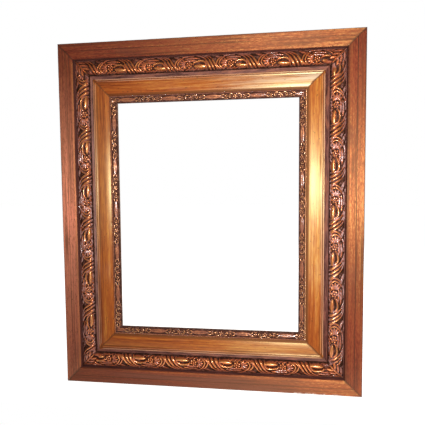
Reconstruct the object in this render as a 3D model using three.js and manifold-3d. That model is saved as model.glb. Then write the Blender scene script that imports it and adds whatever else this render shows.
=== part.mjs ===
// An ornate picture frame: nested mitred mouldings round an open sight, with its hangers and turn buttons behind.
// Millimetres. X runs to the right and Z up, the front faces -Y, and the wall plane is y = 0.
// The origin is the middle of the top rail's back face, where the frame bears on the wall.
import * as THREE from "three";
import { mergeVertices } from "three/addons/utils/BufferGeometryUtils.js";
import Module from "manifold-3d";

const wasm = await Module();
wasm.setup();

// Sight opening, the clear window
const SIGHT_OPENING_WIDTH = 399;
const SIGHT_OPENING_HEIGHT = 506;

// Widths of the four bands seen from the front, outer edge first
const BOARD_WIDTH = 38;
const CHANNEL_WIDTH = 45;
const PANEL_WIDTH = 36.5;
const STRIP_WIDTH = 16;

// Width of the lip with which each moulding covers the one inside it, and the sight the picture
const BOARD_LIP = 8;
const FILLET_LIP = 8;
const PANEL_LIP = 8;
const PICTURE_LIP = 6;

// Heights from the wall towards the viewer
const BACK_RECESS = 12;
const BED_THICKNESS = 19;
const BOARD_LIP_THICKNESS = 15.7;
const BOARD_RISE = 7;
const FILLET_RISE = 6;
const FILLET_LIP_THICKNESS = 7.5;
const PANEL_STEP = 6.5;
const PANEL_DIP = 1;
const PANEL_SWELL = 1.2;
const PANEL_ROLL = 2.2;
const PANEL_LIP_THICKNESS = 6;
const BEAD_STEP = 1;
const BEAD_RISE = 2;
const STRIP_FALL = 4;
const PICTURE_LIP_THICKNESS = 5;

// Edges and small mouldings of the front
const BOARD_EDGE_ROUND = 4;
const BOARD_GROOVE_INSET = 18;
const BOARD_GROOVE_WIDTH = 2.4;
const BOARD_GROOVE_DEPTH = 0.9;
const RIM_WIDTH = 4.5;
const RIM_STEP = 0.7;
const RIM_DROP = 2.5;
const FILLET_WIDTH = 9.5;
const FILLET_ROUND = 2;
const FILLET_FALL = 3.5;
const ARRIS_WIDTH = 3;
const ARRIS_ROUND = 0.8;
const BEVEL_WIDTH = 5;
const CREST_INSET = 9;
const BEAD_WIDTH = 3.2;
const SIGHT_ROUND = 1;

// Moulded garland in the channel
const GARLAND_MARGIN = 1.25;
const GARLAND_CROWN = 15.2;
const GARLAND_PITCH = 99;
const TOP_GARLAND_PITCH = 89;
const RIBBON_LENGTH = 33;
const RIBBON_RIBS = 3;
const RIBBON_DEPTH = 2.6;
const LEAF_DEPTH = 4;
const FLOWER_LENGTH = 32;
const FLOWER_DEPTH = 4.5;
const RIBBON_PLACES = { bottom: 17, left: 17, top: -12, right: -15 };
const GARLAND_SLANT = 0.6;

// Keys let into the outer mitres
const KEY_LEG = 34;
const KEY_THICKNESS = 3;
const KEY_HEIGHT = 18;

// Glue blocks in the angle behind the board
const BLOCK_LENGTH = 60;
const BLOCK_WIDTH = 13;
const BLOCK_NOSE = 4;
const BLOCK_SETBACK = 1;
const BLOCK_END_DISTANCE = 150;

// Strap hangers and their rings
const HANGER_DROP = 230;
const STRAP_WIDTH = 12;
const STRAP_THICKNESS = 1.5;
const STRAP_END = 7;
const STRAP_SCREW_SPACING = 11;
const RING_WIRE = 2.6;
const RING_DROP = 19.5;
const RING_CORNER = 2;
const RING_PLAY = 0.4;
const RING_SIDE_PLAY = 1.2;
const RING_SCREW_GAP = 1.6;

// Turn buttons
const BUTTON_WIDTH = 12;
const BUTTON_TIP_WIDTH = 7;
const BUTTON_THICKNESS = 1.8;
const BUTTON_SETBACK = 1.5;
const BUTTON_END_DISTANCE = 250;

// Wood screws
const SCREW_SHANK = 3.4;
const SCREW_HEAD = 7.2;
const SCREW_HEAD_HEIGHT = 2.2;
const SCREW_GRIP = 11;
const SCREW_POINT = 3;
const SCREW_SLOT_WIDTH = 0.9;
const SCREW_SLOT_DEPTH = 0.8;

// Fineness of the round shapes
const CURVE_SEGMENTS = 5;
const GARLAND_FACETS = 7;
const SWELL_STATIONS = 4;
const RING_SIDES = 8;
const SCREW_SIDES = 12;
const HEAD_STEPS = 3;

// Clearances
const JOINT_GAP = 0.3;
const HOLE_CLEARANCE = 0.3;
const CUT_MARGIN = 2;

// Insets of the band edges from the outer edge
const channelStart = BOARD_WIDTH;
const panelStart = channelStart + CHANNEL_WIDTH;
const stripStart = panelStart + PANEL_WIDTH;
const sightEdge = stripStart + STRIP_WIDTH;
const picturePocket = sightEdge - PICTURE_LIP;

// Overall size
const frameWidth = SIGHT_OPENING_WIDTH + 2 * sightEdge;
const frameHeight = SIGHT_OPENING_HEIGHT + 2 * sightEdge;

// Walls where one moulding meets the next behind its lip
const boardWall = BOARD_WIDTH - BOARD_LIP;
const bedWall = panelStart - FILLET_LIP;
const panelWall = stripStart - PANEL_LIP;

// Levels above the wall plane
const bedFront = BACK_RECESS + BED_THICKNESS;
const boardLipBack = bedFront + JOINT_GAP;
const rimTop = boardLipBack + BOARD_LIP_THICKNESS;
const boardEdge = rimTop - BOARD_RISE;
const filletTop = bedFront + FILLET_RISE;
const filletLipBack = filletTop - FILLET_LIP_THICKNESS;
const arrisTop = filletTop + PANEL_STEP;
const crestTop = arrisTop - PANEL_DIP + PANEL_SWELL;
const panelEnd = crestTop - PANEL_ROLL;
const panelLipBack = panelEnd - PANEL_LIP_THICKNESS;
const beadBase = panelEnd - BEAD_STEP;
const stripEnd = beadBase - STRIP_FALL;
const pictureSeat = stripEnd - PICTURE_LIP_THICKNESS;

// Finishes
function finish(color, roughness, metalness) {
  return () => new THREE.MeshStandardMaterial({ color, roughness, metalness });
}
const boardFinish = finish(0xa5694b, 0.45, 0.25);
const bedFinish = finish(0x8a6052, 0.7, 0.05);
const garlandFinish = finish(0xb07a52, 0.45, 0.35);
const panelFinish = finish(0xc98a4e, 0.35, 0.4);
const stripFinish = finish(0x93695a, 0.5, 0.25);
const hardwood = finish(0x7a5638, 0.75, 0);
const softwood = finish(0xa98258, 0.8, 0);
const brass = finish(0xb08d4a, 0.4, 0.9);
const steel = finish(0x8f8d88, 0.45, 0.9);

// Solids: from a closed geometry and back
function toSolid(geometry) {
  const bare = geometry.clone();
  bare.deleteAttribute("normal");
  bare.deleteAttribute("uv");
  const merged = mergeVertices(bare);
  const vertProperties = Float32Array.from(merged.attributes.position.array);
  const triVerts = Uint32Array.from(merged.index.array);
  return new wasm.Manifold(new wasm.Mesh({ numProp: 3, vertProperties, triVerts }));
}

function toGeometry(solid) {
  const { vertProperties, triVerts } = solid.getMesh();
  const geometry = new THREE.BufferGeometry();
  geometry.setAttribute("position", new THREE.BufferAttribute(vertProperties, 3));
  geometry.setIndex(new THREE.BufferAttribute(triVerts, 1));
  geometry.computeVertexNormals();
  return geometry;
}

function cut(geometry, tools) {
  const solid = tools.reduce((rest, tool) => rest.subtract(toSolid(tool)), toSolid(geometry));
  return toGeometry(solid);
}

function piece(name, geometry, material, parent) {
  const mesh = new THREE.Mesh(geometry, material());
  mesh.name = name;
  parent.add(mesh);
  return mesh;
}

// Sections of the mouldings: first coordinate the inset from the outer edge, second the height above the wall
function boardSection() {
  const faceEnd = BOARD_WIDTH - RIM_WIDTH;
  const faceTop = rimTop - RIM_STEP;
  const face = (inset) => boardEdge + (faceTop - boardEdge) * (inset / faceEnd);
  const grooveOuter = BOARD_GROOVE_INSET - BOARD_GROOVE_WIDTH / 2;
  const grooveInner = BOARD_GROOVE_INSET + BOARD_GROOVE_WIDTH / 2;
  const rimMiddle = BOARD_WIDTH - RIM_WIDTH / 2;
  const section = new THREE.Shape();
  section.moveTo(0, 0);
  section.lineTo(0, boardEdge - BOARD_EDGE_ROUND);
  section.quadraticCurveTo(0, boardEdge, BOARD_EDGE_ROUND, face(BOARD_EDGE_ROUND));
  section.lineTo(grooveOuter, face(grooveOuter));
  section.lineTo(BOARD_GROOVE_INSET, face(BOARD_GROOVE_INSET) - BOARD_GROOVE_DEPTH);
  section.lineTo(grooveInner, face(grooveInner));
  section.lineTo(faceEnd, faceTop);
  section.quadraticCurveTo(faceEnd, rimTop, rimMiddle, rimTop);
  section.quadraticCurveTo(BOARD_WIDTH, rimTop, BOARD_WIDTH, rimTop - RIM_DROP);
  section.lineTo(BOARD_WIDTH, boardLipBack);
  section.lineTo(boardWall, boardLipBack);
  section.lineTo(boardWall, 0);
  return section;
}

function bedSection() {
  const filletStart = panelStart - FILLET_WIDTH;
  const section = new THREE.Shape();
  section.moveTo(boardWall + JOINT_GAP, BACK_RECESS);
  section.lineTo(boardWall + JOINT_GAP, bedFront);
  section.lineTo(filletStart, bedFront);
  section.lineTo(filletStart, filletTop - FILLET_ROUND);
  section.quadraticCurveTo(filletStart, filletTop, filletStart + FILLET_ROUND, filletTop);
  section.lineTo(panelStart, filletTop - FILLET_FALL);
  section.lineTo(panelStart, filletLipBack);
  section.lineTo(bedWall, filletLipBack);
  section.lineTo(bedWall, BACK_RECESS);
  return section;
}

function panelSection() {
  const outer = panelStart + JOINT_GAP;
  const bevelStart = outer + ARRIS_WIDTH;
  const valley = arrisTop - PANEL_DIP;
  const crest = stripStart - CREST_INSET;
  const section = new THREE.Shape();
  section.moveTo(bedWall + JOINT_GAP, BACK_RECESS);
  section.lineTo(bedWall + JOINT_GAP, filletLipBack - JOINT_GAP);
  section.lineTo(outer, filletLipBack - JOINT_GAP);
  section.lineTo(outer, arrisTop - ARRIS_ROUND);
  section.lineTo(outer + ARRIS_ROUND, arrisTop);
  section.lineTo(bevelStart, arrisTop);
  section.lineTo(bevelStart + BEVEL_WIDTH, valley);
  section.quadraticCurveTo(crest - CREST_INSET, crestTop, crest, crestTop);
  section.quadraticCurveTo(stripStart, crestTop, stripStart, panelEnd);
  section.lineTo(stripStart, panelLipBack);
  section.lineTo(panelWall, panelLipBack);
  section.lineTo(panelWall, BACK_RECESS);
  return section;
}

function stripSection() {
  const outer = stripStart + JOINT_GAP;
  const beadMiddle = outer + BEAD_WIDTH / 2;
  const beadInner = outer + BEAD_WIDTH;
  const section = new THREE.Shape();
  section.moveTo(panelWall + JOINT_GAP, BACK_RECESS);
  section.lineTo(panelWall + JOINT_GAP, panelLipBack - JOINT_GAP);
  section.lineTo(outer, panelLipBack - JOINT_GAP);
  section.lineTo(outer, beadBase);
  section.quadraticCurveTo(outer, beadBase + BEAD_RISE, beadMiddle, beadBase + BEAD_RISE);
  section.quadraticCurveTo(beadInner, beadBase + BEAD_RISE, beadInner, beadBase);
  section.lineTo(sightEdge - SIGHT_ROUND, stripEnd);
  section.lineTo(sightEdge, stripEnd - SIGHT_ROUND);
  section.lineTo(sightEdge, pictureSeat);
  section.lineTo(picturePocket, pictureSeat);
  section.lineTo(picturePocket, BACK_RECESS);
  return section;
}

// A length of moulding along X below the frame's middle, its ends mitred towards the sight
function mitredRail(section, side) {
  const geometry = new THREE.ExtrudeGeometry(section, {
    depth: 1,
    steps: 1,
    bevelEnabled: false,
    curveSegments: CURVE_SEGMENTS,
  });
  const position = geometry.attributes.position;
  for (let index = 0; index < position.count; index += 1) {
    const inset = position.getX(index);
    const height = position.getY(index);
    const end = position.getZ(index) < 0.5 ? -1 : 1;
    const along = end * (side.span / 2 - inset - JOINT_GAP / 2);
    position.setXYZ(index, along, -height, inset - side.reach);
  }
  return geometry;
}

// How far the garland's crown dips below its full height, along one repeat of ribbon, leaf and flower
function garlandStations(pitch) {
  const stations = [];
  const leafLength = pitch - RIBBON_LENGTH - FLOWER_LENGTH;
  const ribLength = RIBBON_LENGTH / RIBBON_RIBS;
  for (let rib = 0; rib < RIBBON_RIBS; rib += 1) {
    stations.push({ along: rib * ribLength, dip: RIBBON_DEPTH });
    stations.push({ along: (rib + 0.5) * ribLength, dip: 0 });
  }
  const swellings = [
    { start: RIBBON_LENGTH, length: leafLength, depth: LEAF_DEPTH },
    { start: RIBBON_LENGTH + leafLength, length: FLOWER_LENGTH, depth: FLOWER_DEPTH },
  ];
  for (const { start, length, depth } of swellings) {
    for (let step = 0; step < SWELL_STATIONS; step += 1) {
      const share = step / SWELL_STATIONS;
      stations.push({ along: start + length * share, dip: depth * (1 - Math.sin(Math.PI * share)) });
    }
  }
  return stations;
}

// The garland strip: half-round slices, slanted like its ribbons, cut off at the mitres
const garlandWidth = CHANNEL_WIDTH - FILLET_WIDTH - 2 * GARLAND_MARGIN;
function garland(side) {
  const middle = channelStart + GARLAND_MARGIN + garlandWidth / 2;
  const base = bedFront + JOINT_GAP;
  const pitch = side.name === "top" ? TOP_GARLAND_PITCH : GARLAND_PITCH;
  const firstRibbon = RIBBON_PLACES[side.name] - RIBBON_LENGTH / 2;
  const repeats = Math.ceil(side.span / pitch / 2) + 1;
  const corners = [];
  const ringSize = GARLAND_FACETS + 1;
  let rings = 0;
  for (let repeat = -repeats; repeat < repeats; repeat += 1) {
    for (const { along, dip } of garlandStations(pitch)) {
      for (let facet = 0; facet < ringSize; facet += 1) {
        const angle = (Math.PI * facet) / GARLAND_FACETS;
        const across = -Math.cos(angle) * (garlandWidth / 2);
        const height = base + Math.sin(angle) * (GARLAND_CROWN - dip);
        const place = firstRibbon + repeat * pitch + along - GARLAND_SLANT * across;
        corners.push(place, -height, middle + across - side.reach);
      }
      rings += 1;
    }
  }
  const strip = loftedRings(corners, rings, ringSize);
  const trim = new THREE.Shape();
  trim.moveTo(middle - garlandWidth, base - CUT_MARGIN);
  trim.lineTo(middle - garlandWidth, rimTop + GARLAND_CROWN);
  trim.lineTo(middle + garlandWidth, rimTop + GARLAND_CROWN);
  trim.lineTo(middle + garlandWidth, base - CUT_MARGIN);
  return toGeometry(toSolid(strip).intersect(toSolid(mitredRail(trim, side))));
}

// A closed skin over rings of equal size, with a fan at either end
function loftedRings(corners, rings, ringSize) {
  const faces = [];
  for (let ring = 0; ring + 1 < rings; ring += 1) {
    for (let corner = 0; corner < ringSize; corner += 1) {
      const a = ring * ringSize + corner;
      const b = ring * ringSize + ((corner + 1) % ringSize);
      faces.push(a, a + ringSize, b);
      faces.push(b, a + ringSize, b + ringSize);
    }
  }
  const last = (rings - 1) * ringSize;
  for (let corner = 1; corner + 1 < ringSize; corner += 1) {
    faces.push(0, corner, corner + 1);
    faces.push(last, last + corner + 1, last + corner);
  }
  return indexedGeometry(corners, faces);
}

function indexedGeometry(corners, faces) {
  const geometry = new THREE.BufferGeometry();
  geometry.setAttribute("position", new THREE.Float32BufferAttribute(corners, 3));
  geometry.setIndex(faces);
  return geometry;
}

// A flat outline in the frame's plane, given thickness towards the viewer from a height above the wall
function flatPlate(outline, height, thickness) {
  const geometry = new THREE.ExtrudeGeometry(outline, {
    depth: thickness,
    steps: 1,
    bevelEnabled: false,
    curveSegments: CURVE_SEGMENTS,
  });
  geometry.rotateX(Math.PI / 2);
  geometry.translate(0, -height, 0);
  return geometry;
}

// Mitre keys: a right-angled feather, flush with both outer edges, in the bottom left corner's place
function keyOutline(leg, margin) {
  const outline = new THREE.Shape();
  outline.moveTo(-margin, -margin);
  outline.lineTo(leg + margin, -margin);
  outline.lineTo(-margin, leg + margin);
  return outline;
}

const keyBack = KEY_HEIGHT - KEY_THICKNESS / 2;
function keySlots(side) {
  const outline = keyOutline(KEY_LEG + JOINT_GAP, CUT_MARGIN);
  const slotBack = keyBack - JOINT_GAP;
  const slot = flatPlate(outline, slotBack, KEY_THICKNESS + 2 * JOINT_GAP);
  const start = slot.clone().translate(-side.span / 2, 0, -side.reach);
  const end = slot.clone().rotateY(-Math.PI / 2).translate(side.span / 2, 0, -side.reach);
  return [start, end];
}

// Glue block: a stick that fills the angle behind the board, its free edge taken off
function glueBlock() {
  const outer = boardWall + JOINT_GAP;
  const top = BACK_RECESS - JOINT_GAP;
  const section = new THREE.Shape();
  section.moveTo(outer, BLOCK_SETBACK);
  section.lineTo(outer, top);
  section.lineTo(outer + BLOCK_WIDTH, top);
  section.lineTo(outer + BLOCK_WIDTH, top - BLOCK_NOSE);
  section.lineTo(outer + BLOCK_NOSE, BLOCK_SETBACK);
  const geometry = new THREE.ExtrudeGeometry(section, { depth: BLOCK_LENGTH, steps: 1, bevelEnabled: false });
  geometry.translate(0, 0, -BLOCK_LENGTH / 2);
  geometry.rotateX(Math.PI);
  geometry.rotateY(-Math.PI / 2);
  return geometry;
}

// Slotted round-head screw, its head seated at y = 0 and its point towards the viewer
const screwLength = SCREW_GRIP + SCREW_POINT;
function screw() {
  const shank = SCREW_SHANK / 2;
  const profile = [
    new THREE.Vector2(0, -screwLength),
    new THREE.Vector2(shank, -SCREW_GRIP),
    new THREE.Vector2(shank, 0),
  ];
  for (let step = 0; step < HEAD_STEPS; step += 1) {
    const angle = (Math.PI / 2) * (step / HEAD_STEPS);
    profile.push(new THREE.Vector2(Math.cos(angle) * (SCREW_HEAD / 2), Math.sin(angle) * SCREW_HEAD_HEIGHT));
  }
  profile.push(new THREE.Vector2(0, SCREW_HEAD_HEIGHT));
  const slot = new THREE.BoxGeometry(SCREW_HEAD + CUT_MARGIN, SCREW_SLOT_DEPTH * 2, SCREW_SLOT_WIDTH);
  slot.translate(0, SCREW_HEAD_HEIGHT, 0);
  return cut(new THREE.LatheGeometry(profile, SCREW_SIDES), [slot]);
}

// Round hole along Y for a screw, from above its seat to below its point
const pilotRadius = SCREW_SHANK / 2 + HOLE_CLEARANCE;
function pilotHole(x, seat, z) {
  const length = screwLength + HOLE_CLEARANCE + CUT_MARGIN;
  const hole = new THREE.CylinderGeometry(pilotRadius, pilotRadius, length, SCREW_SIDES);
  return hole.translate(x, seat + CUT_MARGIN - length / 2, z);
}

// Strap: a plate that folds round the ring's bar; x across, y away from the wood, z up, the bar at z = 0
const strapSeat = -BACK_RECESS + JOINT_GAP;
const loopBore = RING_WIRE / 2 + RING_PLAY;
const loopRadius = loopBore + STRAP_THICKNESS;
const firstScrewDrop = RING_DROP + RING_WIRE / 2 + RING_SCREW_GAP + SCREW_HEAD / 2;
const strapScrewDrops = [firstScrewDrop, firstScrewDrop + STRAP_SCREW_SPACING];
const strapLength = firstScrewDrop + STRAP_SCREW_SPACING + STRAP_END;
function strap() {
  const meeting = Math.asin((loopRadius - STRAP_THICKNESS) / loopRadius);
  const outline = new THREE.Shape();
  outline.moveTo(-strapLength, 0);
  outline.lineTo(0, 0);
  outline.absarc(0, loopRadius, loopRadius, -Math.PI / 2, Math.PI + meeting, false);
  outline.lineTo(-strapLength, STRAP_THICKNESS);
  const bore = new THREE.Path();
  bore.absarc(0, loopRadius, loopBore, 0, 2 * Math.PI, true);
  outline.holes.push(bore);
  const geometry = new THREE.ExtrudeGeometry(outline, {
    depth: STRAP_WIDTH,
    steps: 1,
    bevelEnabled: false,
    curveSegments: 2 * CURVE_SEGMENTS,
  });
  geometry.translate(0, 0, -STRAP_WIDTH / 2);
  geometry.rotateY(-Math.PI / 2);
  const holes = strapScrewDrops.map((drop) => pilotHole(0, STRAP_THICKNESS, -drop));
  return cut(geometry, holes);
}

// Ring: round wire bent to a D, its bar along X at z = 0 and its bow hanging
function ring() {
  const half = (STRAP_WIDTH + RING_WIRE) / 2 + RING_SIDE_PLAY;
  const bow = new THREE.Path();
  bow.moveTo(0, 0);
  bow.lineTo(half - RING_CORNER, 0);
  bow.absarc(half - RING_CORNER, -RING_CORNER, RING_CORNER, Math.PI / 2, 0, true);
  bow.absarc(0, half - RING_DROP, half, 0, -Math.PI, true);
  bow.absarc(RING_CORNER - half, -RING_CORNER, RING_CORNER, Math.PI, Math.PI / 2, true);
  const centres = bow.getPoints(CURVE_SEGMENTS);
  const count = centres.length;
  const corners = [];
  const faces = [];
  for (let index = 0; index < count; index += 1) {
    const before = centres[(index + count - 1) % count];
    const after = centres[(index + 1) % count];
    const heading = after.clone().sub(before).normalize();
    for (let side = 0; side < RING_SIDES; side += 1) {
      const angle = (2 * Math.PI * side) / RING_SIDES;
      const out = Math.cos(angle) * (RING_WIRE / 2);
      const x = centres[index].x - heading.y * out;
      const z = centres[index].y + heading.x * out;
      corners.push(x, Math.sin(angle) * (RING_WIRE / 2), z);
      const next = ((index + 1) % count) * RING_SIDES;
      const turn = (side + 1) % RING_SIDES;
      const a = index * RING_SIDES + side;
      const b = index * RING_SIDES + turn;
      faces.push(a, next + side, b);
      faces.push(b, next + side, next + turn);
    }
  }
  return indexedGeometry(corners, faces);
}

// Turn button: a plate that tapers from its pivot to its tip along +X, seated at y = 0
const buttonPivot = (panelWall + JOINT_GAP + picturePocket) / 2;
const buttonReach = sightEdge - BUTTON_SETBACK - buttonPivot;
function turnButton() {
  const round = BUTTON_WIDTH / 2;
  const tip = BUTTON_TIP_WIDTH / 2;
  const outline = new THREE.Shape();
  outline.absarc(0, 0, round, Math.PI / 2, -Math.PI / 2, false);
  outline.absarc(buttonReach - tip, 0, tip, -Math.PI / 2, Math.PI / 2, false);
  const geometry = flatPlate(outline, 0, BUTTON_THICKNESS);
  geometry.translate(0, BUTTON_THICKNESS, 0);
  return cut(geometry, [pilotHole(0, BUTTON_THICKNESS, 0)]);
}

// The four sides, each built as the bottom one and turned about the middle of the sight.
// On the two uprights, up is the way along the side that ends at the top.
const sides = [
  { name: "bottom", turn: 0, span: frameWidth, reach: frameHeight / 2, up: 0 },
  { name: "left", turn: Math.PI / 2, span: frameHeight, reach: frameWidth / 2, up: -1 },
  { name: "top", turn: Math.PI, span: frameWidth, reach: frameHeight / 2, up: 0 },
  { name: "right", turn: -Math.PI / 2, span: frameHeight, reach: frameWidth / 2, up: 1 },
];

const group = new THREE.Group();
group.name = "ornate_picture_frame";
const originInset = boardWall / 2;
const middle = new THREE.Group();
middle.position.z = originInset - frameHeight / 2;
group.add(middle);

// Places of the hardware
const hangerHeight = frameHeight / 2 - HANGER_DROP;
const hangerInset = (bedWall + JOINT_GAP + panelWall) / 2;
const buttonHeight = frameHeight / 2 - BUTTON_END_DISTANCE;
const buttonSeat = strapSeat;
const buttonScrewSeat = buttonSeat + BUTTON_THICKNESS + HOLE_CLEARANCE;

function hangerHoles(side) {
  const hole = (drop) => {
    const along = side.up * (hangerHeight - drop);
    return pilotHole(along, strapSeat + STRAP_THICKNESS, hangerInset - side.reach);
  };
  return side.up === 0 ? [] : strapScrewDrops.map(hole);
}

function buttonPlaces(side) {
  if (side.up === 0) {
    return [{ name: side.name, along: 0 }];
  }
  return [
    { name: `${side.name}_upper`, along: side.up * buttonHeight },
    { name: `${side.name}_lower`, along: -side.up * buttonHeight },
  ];
}

// Rails, buttons and blocks, side by side
for (const side of sides) {
  const rails = new THREE.Group();
  rails.rotation.y = side.turn;
  middle.add(rails);

  const pivotLine = buttonPivot - side.reach;
  const places = buttonPlaces(side);
  const buttonHoles = places.map(({ along }) => pilotHole(along, buttonScrewSeat, pivotLine));
  const board = cut(mitredRail(boardSection(), side), keySlots(side));
  const panel = cut(mitredRail(panelSection(), side), hangerHoles(side));
  const strip = cut(mitredRail(stripSection(), side), buttonHoles);
  piece(`outer_board_${side.name}`, board, boardFinish, rails);
  piece(`channel_bed_${side.name}`, mitredRail(bedSection(), side), bedFinish, rails);
  piece(`garland_${side.name}`, garland(side), garlandFinish, rails);
  piece(`inner_panel_${side.name}`, panel, panelFinish, rails);
  piece(`sight_strip_${side.name}`, strip, stripFinish, rails);

  for (const { name, along } of places) {
    const button = piece(`turn_button_${name}`, turnButton(), brass, rails);
    button.position.set(along, buttonSeat, pivotLine);
    const buttonScrew = piece(`button_screw_${name}`, screw(), steel, rails);
    buttonScrew.position.set(along, buttonScrewSeat, pivotLine);
  }

  const blockOffset = side.span / 2 - BLOCK_END_DISTANCE;
  for (const [tag, along] of [["a", -blockOffset], ["b", blockOffset]]) {
    const block = piece(`glue_block_${side.name}_${tag}`, glueBlock(), softwood, rails);
    block.position.set(along, 0, -side.reach);
  }
}

// Keys at the four corners
const corners = [
  { name: "bottom_left", turn: 0, x: -1, z: -1 },
  { name: "top_left", turn: Math.PI / 2, x: -1, z: 1 },
  { name: "top_right", turn: Math.PI, x: 1, z: 1 },
  { name: "bottom_right", turn: -Math.PI / 2, x: 1, z: -1 },
];
for (const corner of corners) {
  const key = flatPlate(keyOutline(KEY_LEG, 0), keyBack, KEY_THICKNESS);
  const mesh = piece(`mitre_key_${corner.name}`, key, hardwood, middle);
  mesh.position.set((corner.x * frameWidth) / 2, 0, (corner.z * frameHeight) / 2);
  mesh.rotation.y = corner.turn;
}

// Hangers on the upright panels
for (const [name, sign] of [["left", -1], ["right", 1]]) {
  const hanger = new THREE.Group();
  hanger.position.set(sign * (frameWidth / 2 - hangerInset), strapSeat, hangerHeight);
  middle.add(hanger);
  piece(`hanger_strap_${name}`, strap(), brass, hanger);
  const bow = piece(`hanger_ring_${name}`, ring(), steel, hanger);
  bow.position.y = loopRadius;
  strapScrewDrops.forEach((drop, index) => {
    const mesh = piece(`hanger_screw_${name}_${index + 1}`, screw(), steel, hanger);
    mesh.position.set(0, STRAP_THICKNESS, -drop);
  });
}

export default group;
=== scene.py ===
import math

import bmesh
import bpy
import numpy as np
from mathutils import Euler, Matrix, Vector


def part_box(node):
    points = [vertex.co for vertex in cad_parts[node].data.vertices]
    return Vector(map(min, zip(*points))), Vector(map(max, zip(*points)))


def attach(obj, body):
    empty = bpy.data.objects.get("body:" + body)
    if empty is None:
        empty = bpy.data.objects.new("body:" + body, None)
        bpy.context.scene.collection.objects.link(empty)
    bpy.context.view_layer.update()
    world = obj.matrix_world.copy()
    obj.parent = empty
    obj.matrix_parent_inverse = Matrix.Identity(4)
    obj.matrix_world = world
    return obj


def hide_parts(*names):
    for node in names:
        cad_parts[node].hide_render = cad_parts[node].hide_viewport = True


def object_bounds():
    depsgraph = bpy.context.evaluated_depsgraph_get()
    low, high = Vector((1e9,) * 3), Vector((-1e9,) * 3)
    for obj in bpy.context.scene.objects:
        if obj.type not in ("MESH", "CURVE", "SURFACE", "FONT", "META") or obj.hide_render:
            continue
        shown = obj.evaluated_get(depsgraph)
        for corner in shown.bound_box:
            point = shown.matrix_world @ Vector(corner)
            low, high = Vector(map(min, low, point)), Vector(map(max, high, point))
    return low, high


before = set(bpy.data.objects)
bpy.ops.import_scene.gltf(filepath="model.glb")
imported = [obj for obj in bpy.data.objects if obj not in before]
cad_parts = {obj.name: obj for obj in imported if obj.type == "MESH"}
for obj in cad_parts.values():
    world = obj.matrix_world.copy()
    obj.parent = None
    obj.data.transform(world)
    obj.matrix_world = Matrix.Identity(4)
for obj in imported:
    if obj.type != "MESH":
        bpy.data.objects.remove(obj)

cad_low, cad_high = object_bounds()

# Sizes of the frame, in mm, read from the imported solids
MM = 0.001
WIDTH = (cad_high.x - cad_low.x) / MM
HEIGHT = (cad_high.z - cad_low.z) / MM
MIDDLE_Z = (cad_high.z + cad_low.z) / 2 / MM


def node_ranges(node):
    """Lowest and highest inset from the outer edge and height above the wall of a node of the bottom side."""
    low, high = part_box(node)
    insets = ((low[2] - cad_low.z) / MM, (high[2] - cad_low.z) / MM)
    heights = (-high[1] / MM, -low[1] / MM)
    return insets, heights


(_, BOARD_WIDTH), (_, RIM_TOP) = node_ranges("outer_board_bottom")
(BED_OUTER, PANEL_START), (BACK_RECESS, FILLET_TOP) = node_ranges("channel_bed_bottom")
(GARLAND_OUTER, GARLAND_INNER), (GARLAND_BASE, _) = node_ranges("garland_bottom")
(PANEL_OUTER, STRIP_START), (_, CREST_TOP) = node_ranges("inner_panel_bottom")
(STRIP_OUTER, SIGHT_EDGE), (_, BEAD_TOP) = node_ranges("sight_strip_bottom")
JOINT_GAP = 0.3
BOARD_WALL = BED_OUTER - JOINT_GAP
BED_WALL = PANEL_OUTER - JOINT_GAP
PANEL_WALL = STRIP_OUTER - JOINT_GAP
BED_FRONT = GARLAND_BASE - JOINT_GAP
GARLAND_MIDDLE = (GARLAND_OUTER + GARLAND_INNER) / 2

# Mouldings and ornament of the rails, in mm, most of the mouldings as in the solids
BOARD_EDGE = RIM_TOP - 7
BOARD_ROUND = 4
BACK_BEVEL = 0.6
GROOVE_INSET = 18
GROOVE_WIDTH = 2.4
GROOVE_DEPTH = 0.9
RIM_WIDTH = 4.5
RIM_STEP = 0.7
RIM_DROP = 2.5
FILLET_WIDTH = 9.5
FILLET_ROUND = 2
FILLET_FALL = 3.5
FILLET_LIP = 7.5
ARRIS_TOP = FILLET_TOP + 6.5
ARRIS_WIDTH = 3
ARRIS_ROUND = 0.8
QUIRK_HALF = 1.2
QUIRK_DEPTH = 1.5
BEVEL_WIDTH = 5
VALLEY = ARRIS_TOP - 1
CREST_INSET = 13
PANEL_END = CREST_TOP - 2.2
PANEL_LIP = 6
BEAD_BASE = PANEL_END - 1
BEAD_WIDTH = 3.2
BEAD_PITCH = 2.5
STRIP_END = BEAD_BASE - 4
STRIP_REPEAT = 96
STRIP_SLOPE = 11.5
SPRAY_PLACE = 31
PICTURE_LIP = 6
PICTURE_SEAT = STRIP_END - 5
SIGHT_ROUND = 1
SCALLOP_DEPTH = 0.8

# The four sides, and amounts given for each of them in this order
SIDES = {"bottom": 0, "left": 1, "top": 2, "right": 3}


def by_side(*amounts):
    return dict(zip(SIDES, amounts))


ALONG = by_side((1, 0, 0), (0, 0, -1), (-1, 0, 0), (0, 0, 1))
INWARD = by_side((0, 0, 1), (1, 0, 0), (0, 0, -1), (-1, 0, 0))

# Darkening of the rim, the panel's inner part and the groove, dust with painted shade, and rubbing with a
# painted highlight on the right, of each side, from 0 to 1
RIM_DARKENING = by_side(0.3, 0, 0.66, 0.8)
PANEL_DARKENING = by_side(0.85, 0.5, 0.8, 0.85)
GROOVE_SPARED = by_side(0.4, 0.3, 0.3, 0)
BOARD_DUST_AND_SHADE = by_side(0.85, 0.25, 0.15, 0.1)
BEAD_RUB_AND_HIGHLIGHT = by_side(0.62, 0.6, 0.52, 0.95)
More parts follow.
